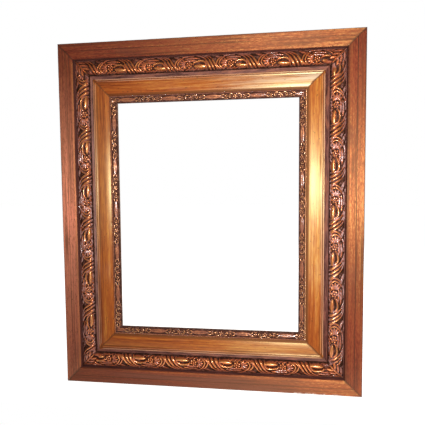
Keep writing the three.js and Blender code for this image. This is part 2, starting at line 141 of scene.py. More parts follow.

# Gold left on with painted light where the lamp falls, and pale dust with painted sheen, at the start, middle
# and end of each side, from 0 to 1
BOARD_GOLD_AND_LIGHT = by_side((0, 0.15, 0.59), (0.06, 0.7, 0.12), (0.59, 0.36, 0), (0.06, 0.66, 0.15))
PANEL_GOLD_AND_LIGHT = by_side((0.25, 0.4, 0.7), (0.2, 0.35, 0.25), (0.35, 0.35, 0), (0.35, 0.85, 0.45))
BOARD_PAINTED_SHEEN = by_side((0, 0, 0), (0, 1, 0.2), (0, 0, 0), (0, 0, 0))
PANEL_DUST_AND_SHEEN = by_side((0, 0, 0.2), (0, 0, 0), (1, 0.1, 0), (0, 0.3, 0))
FILLET_PAINTED_SHEEN = by_side((0.1, 0.15, 0.1), (0.4, 1, 0.4), (0.1, 0.25, 0.25), (0, 0.25, 0))
GARLAND_DUST_AND_SHEEN = by_side((0, 0, 0), (0.15, 0.8, 0.3), (0, 0.15, 0), (0.35, 1, 0.35))

# Garland: its repeat, and where a ribbon sits on each side, as in the solids
REPEAT = 99
REPEATS = by_side(99, 99, 89, 99)
RIBBON_PLACES = by_side(17, 17, -12, -15)
STRANDS = ((-10.5, 3.3), (-2, 3.2), (7, 3.8))
MOUND_CROWN = 5
MOUND_HALF = 17.2
MOUND_FOOT = 0.6
MOUND_RISE = 9.8
SHEET_HALF = 16.5
FLOWER_PLACE = (50, 5)
FLOWER_RADIUS = 5.2
CORNER_CLEAR = (8, 17)
CORNER_SINK = 5

# Unevenness and soil along the rails, in mm
HAND_WAVE = 0.35
EDGE_SPREAD = 1.6
MITRE_SOIL = 11
DUST_END = (29, 34)
GARLAND_DRIFT = 3.0
GARLAND_SWAY = 2.2
GARLAND_THINNEST = 0.25

COARSE = 1
RELIEF_STEP = 0.62 * COARSE
STRIP_STEP = 0.45 * COARSE
RAIL_STEP = 3 * COARSE
SHARP_ANGLE = math.radians(38)


# Placing points on the four sides
def side_lengths(side):
    """Length of a side's outer edge, and that edge's distance from the frame's middle."""
    level = SIDES[side] % 2 == 0
    return (WIDTH, HEIGHT / 2) if level else (HEIGHT, WIDTH / 2)


def half_length(side, inset):
    """Half of a side's length at an inset, up to the joint at its mitre."""
    return side_lengths(side)[0] / 2 - inset - JOINT_GAP / 2


def spread(side, step, insets):
    """Places along and insets of a grid over a side, its rows about a step apart and cut to the mitres."""
    shares = np.linspace(-1, 1, round(side_lengths(side)[0] / step) + 1)
    along = shares[:, None] * half_length(side, insets)[None, :]
    return along, np.broadcast_to(insets, along.shape)


def along_side(amounts, side, along, inset):
    """An amount given at a side's start, middle and end."""
    return np.interp(along / half_length(side, inset), (-0.9, 0, 0.9), amounts[side])


def to_world(side, along, inset, height):
    """Points along a side, in from its edge and out from the wall, in mm, as points of the frame, in m."""
    inward = inset - side_lengths(side)[1]
    turned = [(along, inward), (inward, -along), (-along, -inward), (-inward, along)]
    x, z = turned[SIDES[side]]
    return np.stack([x, -height, z + MIDDLE_Z], axis=-1) * MM


def run_of(side, along, across):
    """Surface coordinates in m: along the side, across it, and a number that sets the four sides apart."""
    apart = np.full_like(along, SIDES[side] * 7.3)
    return np.stack([along * MM, across * MM, apart], axis=-1)


# Smooth random values that are the same in every run
def lattice(column, row, seed):
    """A fixed value from 0 to 1 for each place of a lattice."""
    mixed = (column * 374761393 + row * 668265263 + seed * 144269504) & 0xFFFFFFFF
    mixed = ((mixed ^ (mixed >> 13)) * 1274126177) & 0xFFFFFFFF
    return ((mixed ^ (mixed >> 16)) & 0xFFFF) / 65535


def soft_noise(x, y, seed):
    """Values from 0 to 1 that change smoothly over about one unit."""
    column = np.floor(x).astype(np.int64)
    row = np.floor(y).astype(np.int64)
    across = x - column
    up = y - row
    across = across * across * (3 - 2 * across)
    up = up * up * (3 - 2 * up)
    low = lattice(column, row, seed) * (1 - across) + lattice(column + 1, row, seed) * across
    high = lattice(column, row + 1, seed) * (1 - across) + lattice(column + 1, row + 1, seed) * across
    return low * (1 - up) + high * up


def wobble(x, y, seed):
    """Smooth noise round zero."""
    return soft_noise(x, y, seed) - 0.5


def smooth_step(value, start, end):
    """0 up to the start and 1 from the end on, smooth in between."""
    share = np.clip((value - start) / (end - start), 0, 1)
    return share * share * (3 - 2 * share)


# Flat paths of points, each stopping short of its end, where the next one starts
def line(start, end, step):
    count = max(1, round(math.dist(start, end) / step))
    shares = [index / count for index in range(count)]
    return [tuple(a + (b - a) * share for a, b in zip(start, end)) for share in shares]


def bend(start, pull, end, count):
    points = []
    for index in range(count):
        share = index / count
        ends = ((1 - share) ** 2, 2 * share * (1 - share), share ** 2)
        points.append(tuple(sum(w * p[axis] for w, p in zip(ends, (start, pull, end))) for axis in (0, 1)))
    return points


def on_circle(centre, radius, angle):
    return (centre[0] + radius * math.cos(angle), centre[1] + radius * math.sin(angle))


def arc(centre, radius, start, end, count):
    """Points of an arc, its angles in degrees."""
    angles = [math.radians(start + (end - start) * index / count) for index in range(count)]
    return [on_circle(centre, radius, angle) for angle in angles]


# Which of its finishes a stretch of a section has: the face's, bare wood, or dark dirt with painted shade
FACE, WOOD, DIRT_AND_SHADE = range(3)


def section(start, *stretches):
    """Points of inset and height round a closed section, and the mark of each stretch between two points.

    A stretch is a mark, its end, and the step of a line or the pull and the count of a bend.
    """
    points = []
    marks = []
    for mark, end, *shape in stretches:
        stretch = line(start, end, *shape) if len(shape) == 1 else bend(start, shape[0], end, shape[1])
        points += stretch
        marks += [mark] * len(stretch)
        start = end
    return np.array(points), np.array(marks)


def edge_values(points):
    """How far each point of a closed section stands on an outward edge: 1 on an edge, 0 in a hollow."""
    before = points - np.roll(points, 1, axis=0)
    after = np.roll(points, -1, axis=0) - points
    turn = before[:, 1] * after[:, 0] - before[:, 0] * after[:, 1]
    reach = np.einsum("ij,ij->i", before, after)
    angles = np.arctan2(turn, reach)
    gaps = np.linalg.norm(points[:, None, :] - points[None, :, :], axis=2)
    near = np.exp(-((gaps / EDGE_SPREAD) ** 2))
    return np.clip(0.5 + 0.6 * (near @ angles), 0, 1)


# Meshes from grids of points
def put(name, data):
    """A new object in the scene."""
    thing = bpy.data.objects.new(name, data)
    bpy.context.scene.collection.objects.link(thing)
    return thing


def smooth_piece(name, mesh):
    """A piece that is shaded smooth between its sharp edges."""
    mesh.shade_smooth()
    mesh.set_sharp_from_angle(angle=SHARP_ANGLE)
    return put(name, mesh)


def add_layer(mesh, name, values, kind="value"):
    """A value or vector for each point of a mesh, for its finish to read."""
    layer = mesh.attributes.new(name, "FLOAT" if kind == "value" else "FLOAT_VECTOR", "POINT")
    layer.data.foreach_set(kind, values.reshape(-1).astype(np.float32))


def skin(name, side, grid, run, relief, marks, finishes):
    """A closed piece from a grid: rows along the side, columns round its section, a face at either end."""
    rows, columns, _ = grid.shape
    index = np.arange(rows * columns).reshape(rows, columns)
    following = np.roll(index, -1, axis=1)
    quads = np.stack([index[:-1], index[1:], following[1:], following[:-1]], axis=-1).reshape(-1, 4)
    ends = [index[0].tolist(), index[-1][::-1].tolist()]
    mesh = bpy.data.meshes.new(name)
    mesh.from_pydata(grid.reshape(-1, 3).tolist(), [], quads.tolist() + ends)
    for finish in finishes:
        mesh.materials.append(finish)
    face_marks = np.concatenate([np.tile(marks.astype(np.int32), rows - 1), np.full(2, WOOD, np.int32)])
    mesh.polygons.foreach_set("material_index", face_marks)
    add_layer(mesh, "relief", relief)
    add_layer(mesh, "run", run, "vector")
    add_layer(mesh, "inward", np.broadcast_to(INWARD[side], grid.shape), "vector")
    return smooth_piece(name, mesh)


def plain_rail(name, side, profile, finishes, wear, darkening, layers):
    """A mitred moulding of one section, a little uneven from hand work, its edges rubbed.

    Darkening gives the highest relief at an inset, so that a darkened stretch counts as a hollow. A layer is
    a function of side, along and inset, or a table of amounts at each side's start, middle and end.
    """
    points, marks = profile
    along, inset = spread(side, RAIL_STEP, points[:, 0])
    steps = np.linalg.norm(np.diff(points, axis=0), axis=1)
    across = np.broadcast_to(np.concatenate([[0], np.cumsum(steps)]), along.shape)
    edges = edge_values(points)
    seed = SIDES[side] * 5 + len(points)
    wave = wobble(along / 60, across / 25, seed)
    worn = smooth_step(soft_noise(along / 14, across / 30, seed + 1), 0.62, 0.9)
    rubs = worn * np.clip(edges * 2 - 1.1, 0, 1)
    front = (marks == FACE) & (np.roll(marks, 1) == FACE)
    height = points[None, :, 1] - front * (HAND_WAVE * wave + wear * rubs)
    relief = np.clip(edges[None, :] + 0.25 * wave, 0, 1)
    from_mitre = half_length(side, inset) - np.abs(along)
    soiled_end = MITRE_SOIL * (0.3 + soft_noise(along / 15, across / 9, seed + 2))
    relief = np.minimum(relief, 0.2 + 0.8 * smooth_step(from_mitre, 0, soiled_end))
    if darkening:
        relief = np.minimum(relief, darkening(side, inset))
    grid = to_world(side, along, inset, height)
    piece = skin(name, side, grid, run_of(side, along, across), relief, marks, finishes)
    for layer, source in layers.items():
        values = source(side, along, inset) if callable(source) else along_side(source, side, along, inset)
        add_layer(piece.data, layer, values)
    return piece


def board_darkening(side, inset):
    """The board is darkened at its outer edge, which is painted shade, and in its groove and at its rim."""
    edge = smooth_step(inset, 0.3, 4)
    clean = GROOVE_SPARED[side]
    groove = clean + (1 - clean) * smooth_step(np.abs(inset - GROOVE_INSET), 0.5, 1.8)
    rim_start = BOARD_WIDTH - RIM_WIDTH
    rim = 1 - RIM_DARKENING[side] * smooth_step(inset, rim_start - 0.5, rim_start + 1)
    return 0.1 + 0.9 * np.minimum(np.minimum(edge, groove), rim)


def board_dust_and_shade(side, along, inset):
    """Dust with painted shade lies thickest on the bottom board, and spares the rim and the ends of each
    board.
    """
    on_face = 1 - smooth_step(inset, *DUST_END)
    ends = 1 - smooth_step(np.abs(along) / half_length(side, inset), 0.45, 0.95)
    return BOARD_DUST_AND_SHADE[side] * on_face * (0.35 + 0.65 * ends)


def board_chips(side, along, inset):
    """The bottom board has lost its finish in places along its lower edge, right of the middle."""
    if side != "bottom":
        return np.zeros(along.shape)
    share = along / half_length(side, inset)
    stretch = smooth_step(share, 0.45, 0.6) * (1 - smooth_step(share, 0.82, 0.9))
    lost = smooth_step(soft_noise(along / 6, inset / 3, 5), 0.42, 0.55)
    return stretch * lost * smooth_step(inset, 0.1, 0.5) * (1 - smooth_step(inset, 3, 4.5))


def panel_darkening(side, inset):
    """The panel is darker towards the sight, least on the left."""
    return 1 - PANEL_DARKENING[side] * smooth_step(inset, STRIP_START - 10.5, STRIP_START - 2)


# Sections of the plain mouldings
def board_section():
    face_end = BOARD_WIDTH - RIM_WIDTH
    face_top = RIM_TOP - RIM_STEP

    def on_face(inset):
        return (inset, BOARD_EDGE + (face_top - BOARD_EDGE) * (inset / face_end))

    lip_back = BED_FRONT + JOINT_GAP
    groove_floor = (GROOVE_INSET, on_face(GROOVE_INSET)[1] - GROOVE_DEPTH)
    return section(
        (0, BACK_BEVEL),
        (DIRT_AND_SHADE, (0, BOARD_EDGE - BOARD_ROUND), 3),
        (FACE, on_face(BOARD_ROUND), (0, BOARD_EDGE), 7),
        (FACE, on_face(GROOVE_INSET - GROOVE_WIDTH / 2), 1.6),
        (FACE, on_face(GROOVE_INSET + GROOVE_WIDTH / 2), groove_floor, 6),
        (FACE, (face_end, face_top), 1.6),
        (FACE, (BOARD_WIDTH - RIM_WIDTH / 2, RIM_TOP), (face_end + 0.4, RIM_TOP), 7),
        (FACE, (BOARD_WIDTH, RIM_TOP - RIM_DROP), (BOARD_WIDTH, RIM_TOP), 8),
        (DIRT_AND_SHADE, (BOARD_WIDTH, lip_back), 2),
        (WOOD, (BOARD_WALL, lip_back), 4),
        (WOOD, (BOARD_WALL, BACK_BEVEL), 5),
        (WOOD, (BOARD_WALL - BACK_BEVEL, 0), 1),
        (WOOD, (BACK_BEVEL, 0), 4),
        (WOOD, (0, BACK_BEVEL), 1),
    )


def bed_section():
    fillet_start = PANEL_START - FILLET_WIDTH
    lip_back = FILLET_TOP - FILLET_LIP
    return section(
        (BED_OUTER, BACK_RECESS),
        (WOOD, (BED_OUTER, BED_FRONT), 5),
        (DIRT_AND_SHADE, (fillet_start, BED_FRONT), 3),
        (DIRT_AND_SHADE, (fillet_start, FILLET_TOP - FILLET_ROUND), 1.5),
        (FACE, (fillet_start + FILLET_ROUND, FILLET_TOP), (fillet_start, FILLET_TOP), 6),
        (FACE, (PANEL_START, FILLET_TOP - FILLET_FALL), 1.5),
        (DIRT_AND_SHADE, (PANEL_START, lip_back), 3),
        (WOOD, (BED_WALL, lip_back), 4),
        (WOOD, (BED_WALL, BACK_RECESS), 5),
        (WOOD, (BED_OUTER, BACK_RECESS), 4),
    )


def panel_section():
    outer = PANEL_START + JOINT_GAP
    lip_back = FILLET_TOP - FILLET_LIP - JOINT_GAP
    quirk_floor = (outer + ARRIS_WIDTH, ARRIS_TOP - 2 * QUIRK_DEPTH)
    bevel_start = (outer + ARRIS_WIDTH + QUIRK_HALF, ARRIS_TOP - 0.3)
    bevel_end = (outer + ARRIS_WIDTH + BEVEL_WIDTH, VALLEY)
    crest = (STRIP_START - CREST_INSET, CREST_TOP + 0.2)
    inner_lip = PANEL_END - PANEL_LIP
    return section(
        (PANEL_OUTER, BACK_RECESS),
        (WOOD, (PANEL_OUTER, lip_back), 5),
        (WOOD, (outer, lip_back), 4),
        (DIRT_AND_SHADE, (outer, ARRIS_TOP - ARRIS_ROUND), 3),
        (FACE, (outer + ARRIS_ROUND, ARRIS_TOP), (outer, ARRIS_TOP), 4),
        (FACE, (outer + ARRIS_WIDTH - QUIRK_HALF, ARRIS_TOP - 0.15), 0.7),
        (FACE, bevel_start, quirk_floor, 6),
        (FACE, bevel_end, (bevel_start[0] + 2.5, VALLEY), 5),
        (FACE, crest, (crest[0] - 7, crest[1]), 12),
        (FACE, (STRIP_START - 0.6, PANEL_END - 0.3), (STRIP_START - 5.6, crest[1]), 10),
        (FACE, (STRIP_START, PANEL_END - 0.9), (STRIP_START, PANEL_END - 0.5), 3),
        (FACE, (STRIP_START, inner_lip), 3),
        (WOOD, (PANEL_WALL, inner_lip), 4),
        (WOOD, (PANEL_WALL, BACK_RECESS), 5),
        (WOOD, (PANEL_OUTER, BACK_RECESS), 4),
    )


# Carved relief, built up from strokes on a flat sheet
class Relief:
    """Heights over a sheet of u along and y across, in mm; strokes rise out of a sunk ground."""

    def __init__(self, u, y, repeat=None):
        self.u = u
        self.y = y
        self.repeat = repeat
        self.rise = np.full(u.shape, -9.0)

    def distance(self, path):
        """Distance to a path of points, and the share of the path at the nearest place."""
        best = np.full(self.u.shape, 1e9)
        share = np.zeros(self.u.shape)
        count = len(path) - 1
        for number in range(count):
            (x0, y0), (x1, y1) = path[number], path[number + 1]
            du = self.u - x0
            if self.repeat:
                du = du - self.repeat * np.round((du - (x1 - x0) / 2) / self.repeat)
            dy = self.y - y0
            length = (x1 - x0) ** 2 + (y1 - y0) ** 2
            place = np.clip((du * (x1 - x0) + dy * (y1 - y0)) / length, 0, 1)
            away = np.hypot(du - place * (x1 - x0), dy - place * (y1 - y0))
            nearer = away < best
            best = np.where(nearer, away, best)
            share = np.where(nearer, (number + place) / count, share)
        return best, share

    def stroke(self, start, pull, end, width, height, root=0.45, tip=0.12, sunk=3.0, vein=0.0, dome=0.5):
        """A rounded leaf or rib along a bend; root and tip are the shares of its width at its two ends."""
        away, share = self.distance(bend(start, pull, end, 12) + [end])
        swell = np.sin(math.pi * np.clip(share, 0, 1)) ** 0.75
        ends = root + (tip - root) * share
        taper = ends + (1 - ends) * swell
        reach = width * taper
        body = np.clip(1 - (away / reach) ** 2, 0, 1) ** dome
        rise = (height * (0.55 + 0.45 * taper) + sunk) * body - sunk
        rise = rise - vein * np.exp(-((away / 0.7) ** 2)) * swell
        self.rise = np.where(away < reach, np.maximum(self.rise, rise), self.rise)

    def knob(self, centre, radius, height, sunk=3.0, pit=0.0):
        """A round boss, with a pit in its middle if wanted."""
        away, _ = self.distance([centre, (centre[0] + 0.01, centre[1])])
        body = np.sqrt(np.clip(1 - (away / radius) ** 2, 0, 1))
        rise = (height + sunk) * body - sunk - pit * np.exp(-((away / (0.45 * radius)) ** 2))
        self.rise = np.where(away < radius, np.maximum(self.rise, rise), self.rise)

    def flower(self, centre, petals, radius, height, turn, heart):
        """Petals round a pearl."""
        for number in range(petals):
            angle = turn + 2 * math.pi * number / petals
            points = [on_circle(centre, reach, angle) for reach in (heart * 0.8, radius * 0.6, radius)]
            self.stroke(*points, radius * 0.36, height, root=0.5, tip=0.75, vein=0.7)
        self.knob(centre, heart, height + 0.6, pit=1.0)


def sampled(sheet, u_share, y_share):
    """Values of a sheet at shares of its length, which repeats, and of its width."""
    columns, rows = sheet.shape
    u = (u_share % 1) * columns
    y = np.clip(y_share, 0, 1) * (rows - 1)
    u_low = np.floor(u).astype(int) % columns
    y_low = np.minimum(np.floor(y).astype(int), rows - 2)
    u_part = u - np.floor(u)
    y_part = y - y_low
    u_high = (u_low + 1) % columns
    low = sheet[u_low, y_low] * (1 - u_part) + sheet[u_high, y_low] * u_part
    high = sheet[u_low, y_low + 1] * (1 - u_part) + sheet[u_high, y_low + 1] * u_part
    return low * (1 - y_part) + high * y_part


def local_mean(values, reach):
    """Mean of the values round each place of a grid."""
    weights = np.hanning(2 * reach + 3)[1:-1]
    weights = weights / weights.sum()
    padded = np.pad(values, reach, mode="edge")
    rows = np.apply_along_axis(np.convolve, 0, padded, weights, "valid")
    return np.apply_along_axis(np.convolve, 1, rows, weights, "valid")


def garland_sheet():
    """One repeat of the garland: ribbon, bud in its cup, flower and hood, as rise over the mound."""
    u, y = np.meshgrid(np.arange(0, REPEAT, 0.5), np.linspace(-SHEET_HALF, SHEET_HALF, 67), indexing="ij")
    sheet = Relief(u, y, REPEAT)
    # Ribbon: strands that cross the crown, then sweep on along the outer edge
    for place, width in STRANDS:
        crossing = (place + 5, -3)
        sheet.stroke((place - 8, 17), (place - 2, 8), crossing, width, 4.6, tip=0.8, sunk=2)
        sheet.stroke(crossing, (place + 10, -12), (place + 29, -16), 0.55 * width, 3.6,
                     root=0.9, tip=0.3, sunk=2)
    # A broad bud, with a cup that starts under it and follows its outer side
    sheet.stroke((12, 10), (23, 11.5), (38, 8.5), 5.8, 5.6, root=0.5, tip=0.3, sunk=1.2, dome=0.6)
    sheet.stroke((10, 15), (11, -9), (39, 1), 2.7, 4.2, root=0.5, tip=0.8, sunk=2)
    # Long leaves on the outer slope, and two in the corner between hood and ribbon, one of them veined
    for start, pull, end, width, height, tip, vein in (
        ((30, -2), (45, -6.5), (60, -3), 3.0, 2.8, 0.3, 0),
        ((27, -8), (42, -11.5), (60, -8), 3.0, 3.2, 0.3, 0),
        ((40, -14), (54, -16.5), (68, -12), 2.6, 3.4, 0.4, 0),
        ((70, -8), (80, -11), (91, -16), 3.6, 2.2, 0.3, 0.8),
        ((66, -15.5), (74, -17), (84, -17), 2.4, 3.2, 0.3, 0),
    ):
        sheet.stroke(start, pull, end, width, height, root=0.4, tip=tip, sunk=1.5, vein=vein)
    # Slanted veins of the inner leaf
    for place in (22, 31, 40, 49):
        sheet.stroke((place, 12.5), (place + 7, 15), (place + 14, 17), 1.7, 3.4, root=0.6, tip=0.4, sunk=2)
    # Flower: pearls round a heart, and single pearls about it
    for number in range(6):
        pearl = on_circle(FLOWER_PLACE, FLOWER_RADIUS, 0.35 + math.pi / 3 * number)
        sheet.knob(pearl, 2.8, 4.0, sunk=2, pit=0.5)
    sheet.knob(FLOWER_PLACE, 2.6, 4.4, sunk=2, pit=0.8)
    for centre, radius in (((58, -3.5), 2.3), ((40.5, 3.5), 2.2), ((59, 12), 2.1)):
        sheet.knob(centre, radius, 3.4, sunk=2)
    # Hood: a fluted shell that closes over the flower, under two arches
    for flute in range(5):
        angle = -1.2 + 0.6 * flute
        tip = (61 + 10.5 * math.cos(angle), 4 + 10 * math.sin(angle))
        root = (58 + 2.5 * math.cos(angle), 4 + 4 * math.sin(angle))
        pull = ((tip[0] + root[0]) / 2, (tip[1] + root[1]) / 2)
        sheet.stroke(root, pull, tip, 2.9, 3.0, root=0.5, tip=0.85, sunk=2)
    for reach, rise in ((0, 4.4), (6.5, 3.8)):
        crown = 77.5 + reach
        sheet.stroke((61 + reach, 17), (75 + reach, 15.5), (crown, 5), 2.5, rise, root=0.4, tip=0.8, sunk=2)
        sheet.stroke((crown, 6), (75 + reach, -6), (63 + reach, -11), 2.5, rise, root=0.8, tip=0.3, sunk=2)
    return sheet.rise


def mound(across):
    """The garland's swelling under its ornament: a long outer slope, a broad crown and a steep inner side."""
    offset = across - MOUND_CROWN
    outer = np.abs(offset / (MOUND_CROWN + MOUND_HALF)) ** 2.2
    inner = np.abs(offset / (MOUND_HALF - MOUND_CROWN)) ** 4
    return MOUND_FOOT + MOUND_RISE * np.clip(1 - np.where(offset < 0, outer, inner), 0, 1)


def corner_leaf(inset, from_end):
    """Rise of a leaf that lies along the mitre and opens towards the sight, and distance from the mitre."""
    down = (inset + from_end) / math.sqrt(2) - GARLAND_MIDDLE * math.sqrt(2)
    beside = np.abs(from_end - inset) / math.sqrt(2)
    leaf = Relief(down, beside)
    leaf.stroke((-22, 0), (0, 0), (19, 0), 3.0, 5.2, root=0.6, tip=0.3)
    for step in range(3):
        start = (-15 + 10 * step, 1.5)
        pull = (-10 + 10 * step, 8)
        end = (-1 + 9 * step, 13.5 - 2 * step)
        leaf.stroke(start, pull, end, 3.6, 3.4, root=0.5, tip=0.25, vein=0.7)
    return leaf.rise, beside


def garland(side, sheet, finishes):
    """The moulded band of one side: a grid of heights over the bed, closed underneath."""
    insets = np.linspace(GARLAND_OUTER, GARLAND_INNER, round((GARLAND_INNER - GARLAND_OUTER) / RELIEF_STEP))
    along, inset = spread(side, RELIEF_STEP, insets)
    across = inset - GARLAND_MIDDLE
    seed = SIDES[side] * 11
    drift = GARLAND_DRIFT * wobble(along / 34, across / 22, seed + 3)
    sway = GARLAND_SWAY * wobble(along / 30, across / 30, seed + 4)
    u_share = (along + drift - RIBBON_PLACES[side]) / REPEATS[side]
    rise = sampled(sheet, u_share, (across + sway) / (2 * SHEET_HALF) + 0.5)
    leaf, beside = corner_leaf(inset, side_lengths(side)[0] / 2 - np.abs(along))
    rise = np.maximum(rise - CORNER_SINK * (1 - smooth_step(beside, *CORNER_CLEAR)), leaf)
    ground = -2.1 + 0.6 * soft_noise(along / 1.7, across / 1.7, seed + 2)
    rise = np.maximum(rise, ground)
    rise = rise + 0.5 * wobble(along / 9, across / 9, seed)
    rise = rise + 0.22 * wobble(along / 2.2, across / 2.2, seed + 1)
    heights = np.clip(mound(across) + rise, GARLAND_THINNEST, None)
    stand = heights - local_mean(heights, max(2, round(7 / RELIEF_STEP)))
    relief = np.clip(0.34 + 0.15 * stand + 0.03 * (heights - 8), 0, 1)
    on_crown = smooth_step(across, -12, -2) * (1 - smooth_step(across, 11, 15))
    relief = np.minimum(relief, 0.56 + 0.44 * on_crown)
    under_along, under = spread(side, RELIEF_STEP, insets[[-1, 0]])
    inset = np.concatenate([inset, under], axis=1)
    along = np.concatenate([along, under_along], axis=1)
    heights = np.concatenate([heights + GARLAND_BASE, np.full(under.shape, GARLAND_BASE)], axis=1)
    relief = np.concatenate([relief, np.zeros(under.shape)], axis=1)
    marks = np.full(inset.shape[1], FACE)
    grid = to_world(side, along, inset, heights)
    piece = skin(f"carved_garland_{side}", side, grid, run_of(side, along, inset), relief, marks, finishes)
    add_layer(piece.data, "dust_and_sheen", along_side(GARLAND_DUST_AND_SHEEN, side, along, inset))
    return piece


# Sight strip: a row of beads, then pressed ornament on the slope down to the sight
def strip_sheet():
    """One repeat of the sight's ornament: a spray of florets and scrolls, then a plain leaf."""
    u, y = np.meshgrid(np.arange(0, STRIP_REPEAT, 0.4), np.linspace(0, STRIP_SLOPE, 30), indexing="ij")
    sheet = Relief(u, y, STRIP_REPEAT)
    sheet.flower((SPRAY_PLACE, 5.6), 5, 4.6, 1.7, 0.2, 1.5)
    scrolls = (
        ((4.5, 2.5), (9, -0.5), (13, 3.2), 1.5, 1.5),
        ((13, 3.2), (15, 8), (9.5, 8.6), 1.5, 1.6),
        ((17, 9.5), (20, 11), (24, 9.4), 1.2, 1.2),
        ((24, 2.2), (28, 1.6), (32, 5.4), 1.6, 1.3),
        ((25, 8), (28, 9), (32, 6.2), 1.5, 1.2),
    )
    for way in (-1, 1):
        for *path, width, height in scrolls:
            points = [(SPRAY_PLACE + way * reach, across) for reach, across in path]
            sheet.stroke(*points, width, height, sunk=1)
        sheet.knob((SPRAY_PLACE + way * 10, 5.6), 1.6, 1.7, sunk=1)
        sheet.flower((SPRAY_PLACE + way * 20, 5.4), 5, 3.7, 1.5, 0.6, 1.2)
    sheet.stroke((61, 5.8), (79, 5.8), (97, 5.8), 4.8, 1.5, root=0.3, tip=0.3, sunk=1, vein=0.8)
    return np.maximum(sheet.rise, -0.6)


def strip(side, sheet, finishes):
    """The sight strip of one side, its ornament and beads raised over its section."""
    outer = STRIP_START + JOINT_GAP
    bead_inner = outer + BEAD_WIDTH
    lip_back = PANEL_END - PANEL_LIP - JOINT_GAP
    pocket = SIGHT_EDGE - PICTURE_LIP
    points, marks = section(
        (STRIP_OUTER, BACK_RECESS),
        (WOOD, (STRIP_OUTER, lip_back), 6),
        (WOOD, (outer, lip_back), 4),
        (FACE, (outer, BEAD_BASE), 3),
        (FACE, (bead_inner, BEAD_BASE), STRIP_STEP),
        (FACE, (SIGHT_EDGE - SIGHT_ROUND, STRIP_END), STRIP_STEP),
        (FACE, (SIGHT_EDGE, STRIP_END - SIGHT_ROUND), (SIGHT_EDGE, STRIP_END), 4),
        (FACE, (SIGHT_EDGE, PICTURE_SEAT), 2),
        (WOOD, (pocket, PICTURE_SEAT), 3),
        (WOOD, (pocket, BACK_RECESS), 6),
        (WOOD, (STRIP_OUTER, BACK_RECESS), 6),
    )
    along, inset = spread(side, STRIP_STEP, points[:, 0])
    front = (points[:, 1] > lip_back + 1) & (points[:, 0] > outer - 0.01)
    # Beads
    from_bead = (along + BEAD_PITCH / 2) % BEAD_PITCH - BEAD_PITCH / 2
    from_row = inset - (outer + BEAD_WIDTH / 2)
    round_part = 1 - (from_bead / (0.52 * BEAD_PITCH)) ** 2 - (from_row / (0.5 * BEAD_WIDTH)) ** 2
    beads = np.sqrt(np.clip(round_part, 0, 1)) * (BEAD_TOP - BEAD_BASE)
    # Ornament
    ornament = sampled(sheet, along / STRIP_REPEAT, (inset - bead_inner - 0.2) / STRIP_SLOPE)
    on_slope = smooth_step(inset, bead_inner, bead_inner + 0.8)
    on_slope = on_slope * (1 - smooth_step(inset, SIGHT_EDGE - 1.6, SIGHT_EDGE))
    uneven = 0.25 * wobble(along / 3, inset / 3, SIDES[side] * 13 + 5)
    rise = np.where(front, beads + on_slope * (ornament + uneven), 0)
    # Sight edge, drawn back in shallow scallops
    scallop = 0.5 - 0.5 * np.cos(2 * math.pi * along / (STRIP_REPEAT / 3))
    near_edge = smooth_step(inset, SIGHT_EDGE - 2.5, SIGHT_EDGE)
    drawn_back = np.where(front, near_edge * SCALLOP_DEPTH * scallop, 0)
    stand = rise - local_mean(rise, max(2, round(1.6 / STRIP_STEP)))
    relief = 0.34 + 0.6 * stand + 0.16 * rise
    # Beads are rubbed bright; the right row's extra brightness is a painted highlight
    relief = np.where(beads > 0.5, BEAD_RUB_AND_HIGHLIGHT[side], relief)
    # Darker towards the sight edge: painted shade
    relief = np.where(front, np.clip(relief * (1 - 0.8 * near_edge), 0, 1), 0.1)
    grid = to_world(side, along, inset - drawn_back, points[None, :, 1] + rise)
    return skin(f"pressed_strip_{side}", side, grid, run_of(side, along, inset), relief, marks, finishes)


# Finishes
class Value:
    """What a node works out for each place of a surface; sums and shares of it add more nodes."""

    def __init__(self, nodes, socket):
        self.nodes = nodes
        self.socket = socket

    def __add__(self, other):
        return self.nodes.math("ADD", self, other)

    def __sub__(self, other):
        return self.nodes.math("SUBTRACT", self, other)

    def __rsub__(self, other):
        return self.nodes.math("SUBTRACT", other, self)

    def __mul__(self, other):
        return self.nodes.math("MULTIPLY", self, other)

    def most(self, other):
        return self.nodes.math("MAXIMUM", self, other)

    def share(self, low, high):
        """The value as a share of the way from low to high."""
        inputs = {"Value": self, "From Min": low, "From Max": high}
        return self.nodes.add("MapRange", "Result", inputs, interpolation_type="SMOOTHSTEP")

    def scaled(self, low, high):
        """A value from 0 to 1 as one from low to high."""
        return self.nodes.add("MapRange", "Result", {"Value": self, "To Min": low, "To Max": high})

    def also(self, output):
        """Another output of the same node."""
        return Value(self.nodes, self.socket.node.outputs[output])


class Nodes:
    """A tree of nodes; an input takes a number, a colour of three numbers or another node's value."""

    def __init__(self, tree):
        self.tree = tree

    def feed(self, socket, value):
        if isinstance(value, Value):
            self.tree.links.new(value.socket, socket)
        elif socket.type == "RGBA":
            socket.default_value = (*value, 1)
        else:
            socket.default_value = value

    def add(self, kind, output, inputs, **settings):
        """One output of a new node."""
        node = self.tree.nodes.new(f"ShaderNode{kind}")
        for name, value in settings.items():
            setattr(node, name, value)
        for name, value in inputs.items():
            self.feed(node.inputs[name], value)
        return Value(self, node.outputs[output])

    def math(self, operation, first, second):
        return self.add("Math", "Value", {0: first, 1: second}, operation=operation)


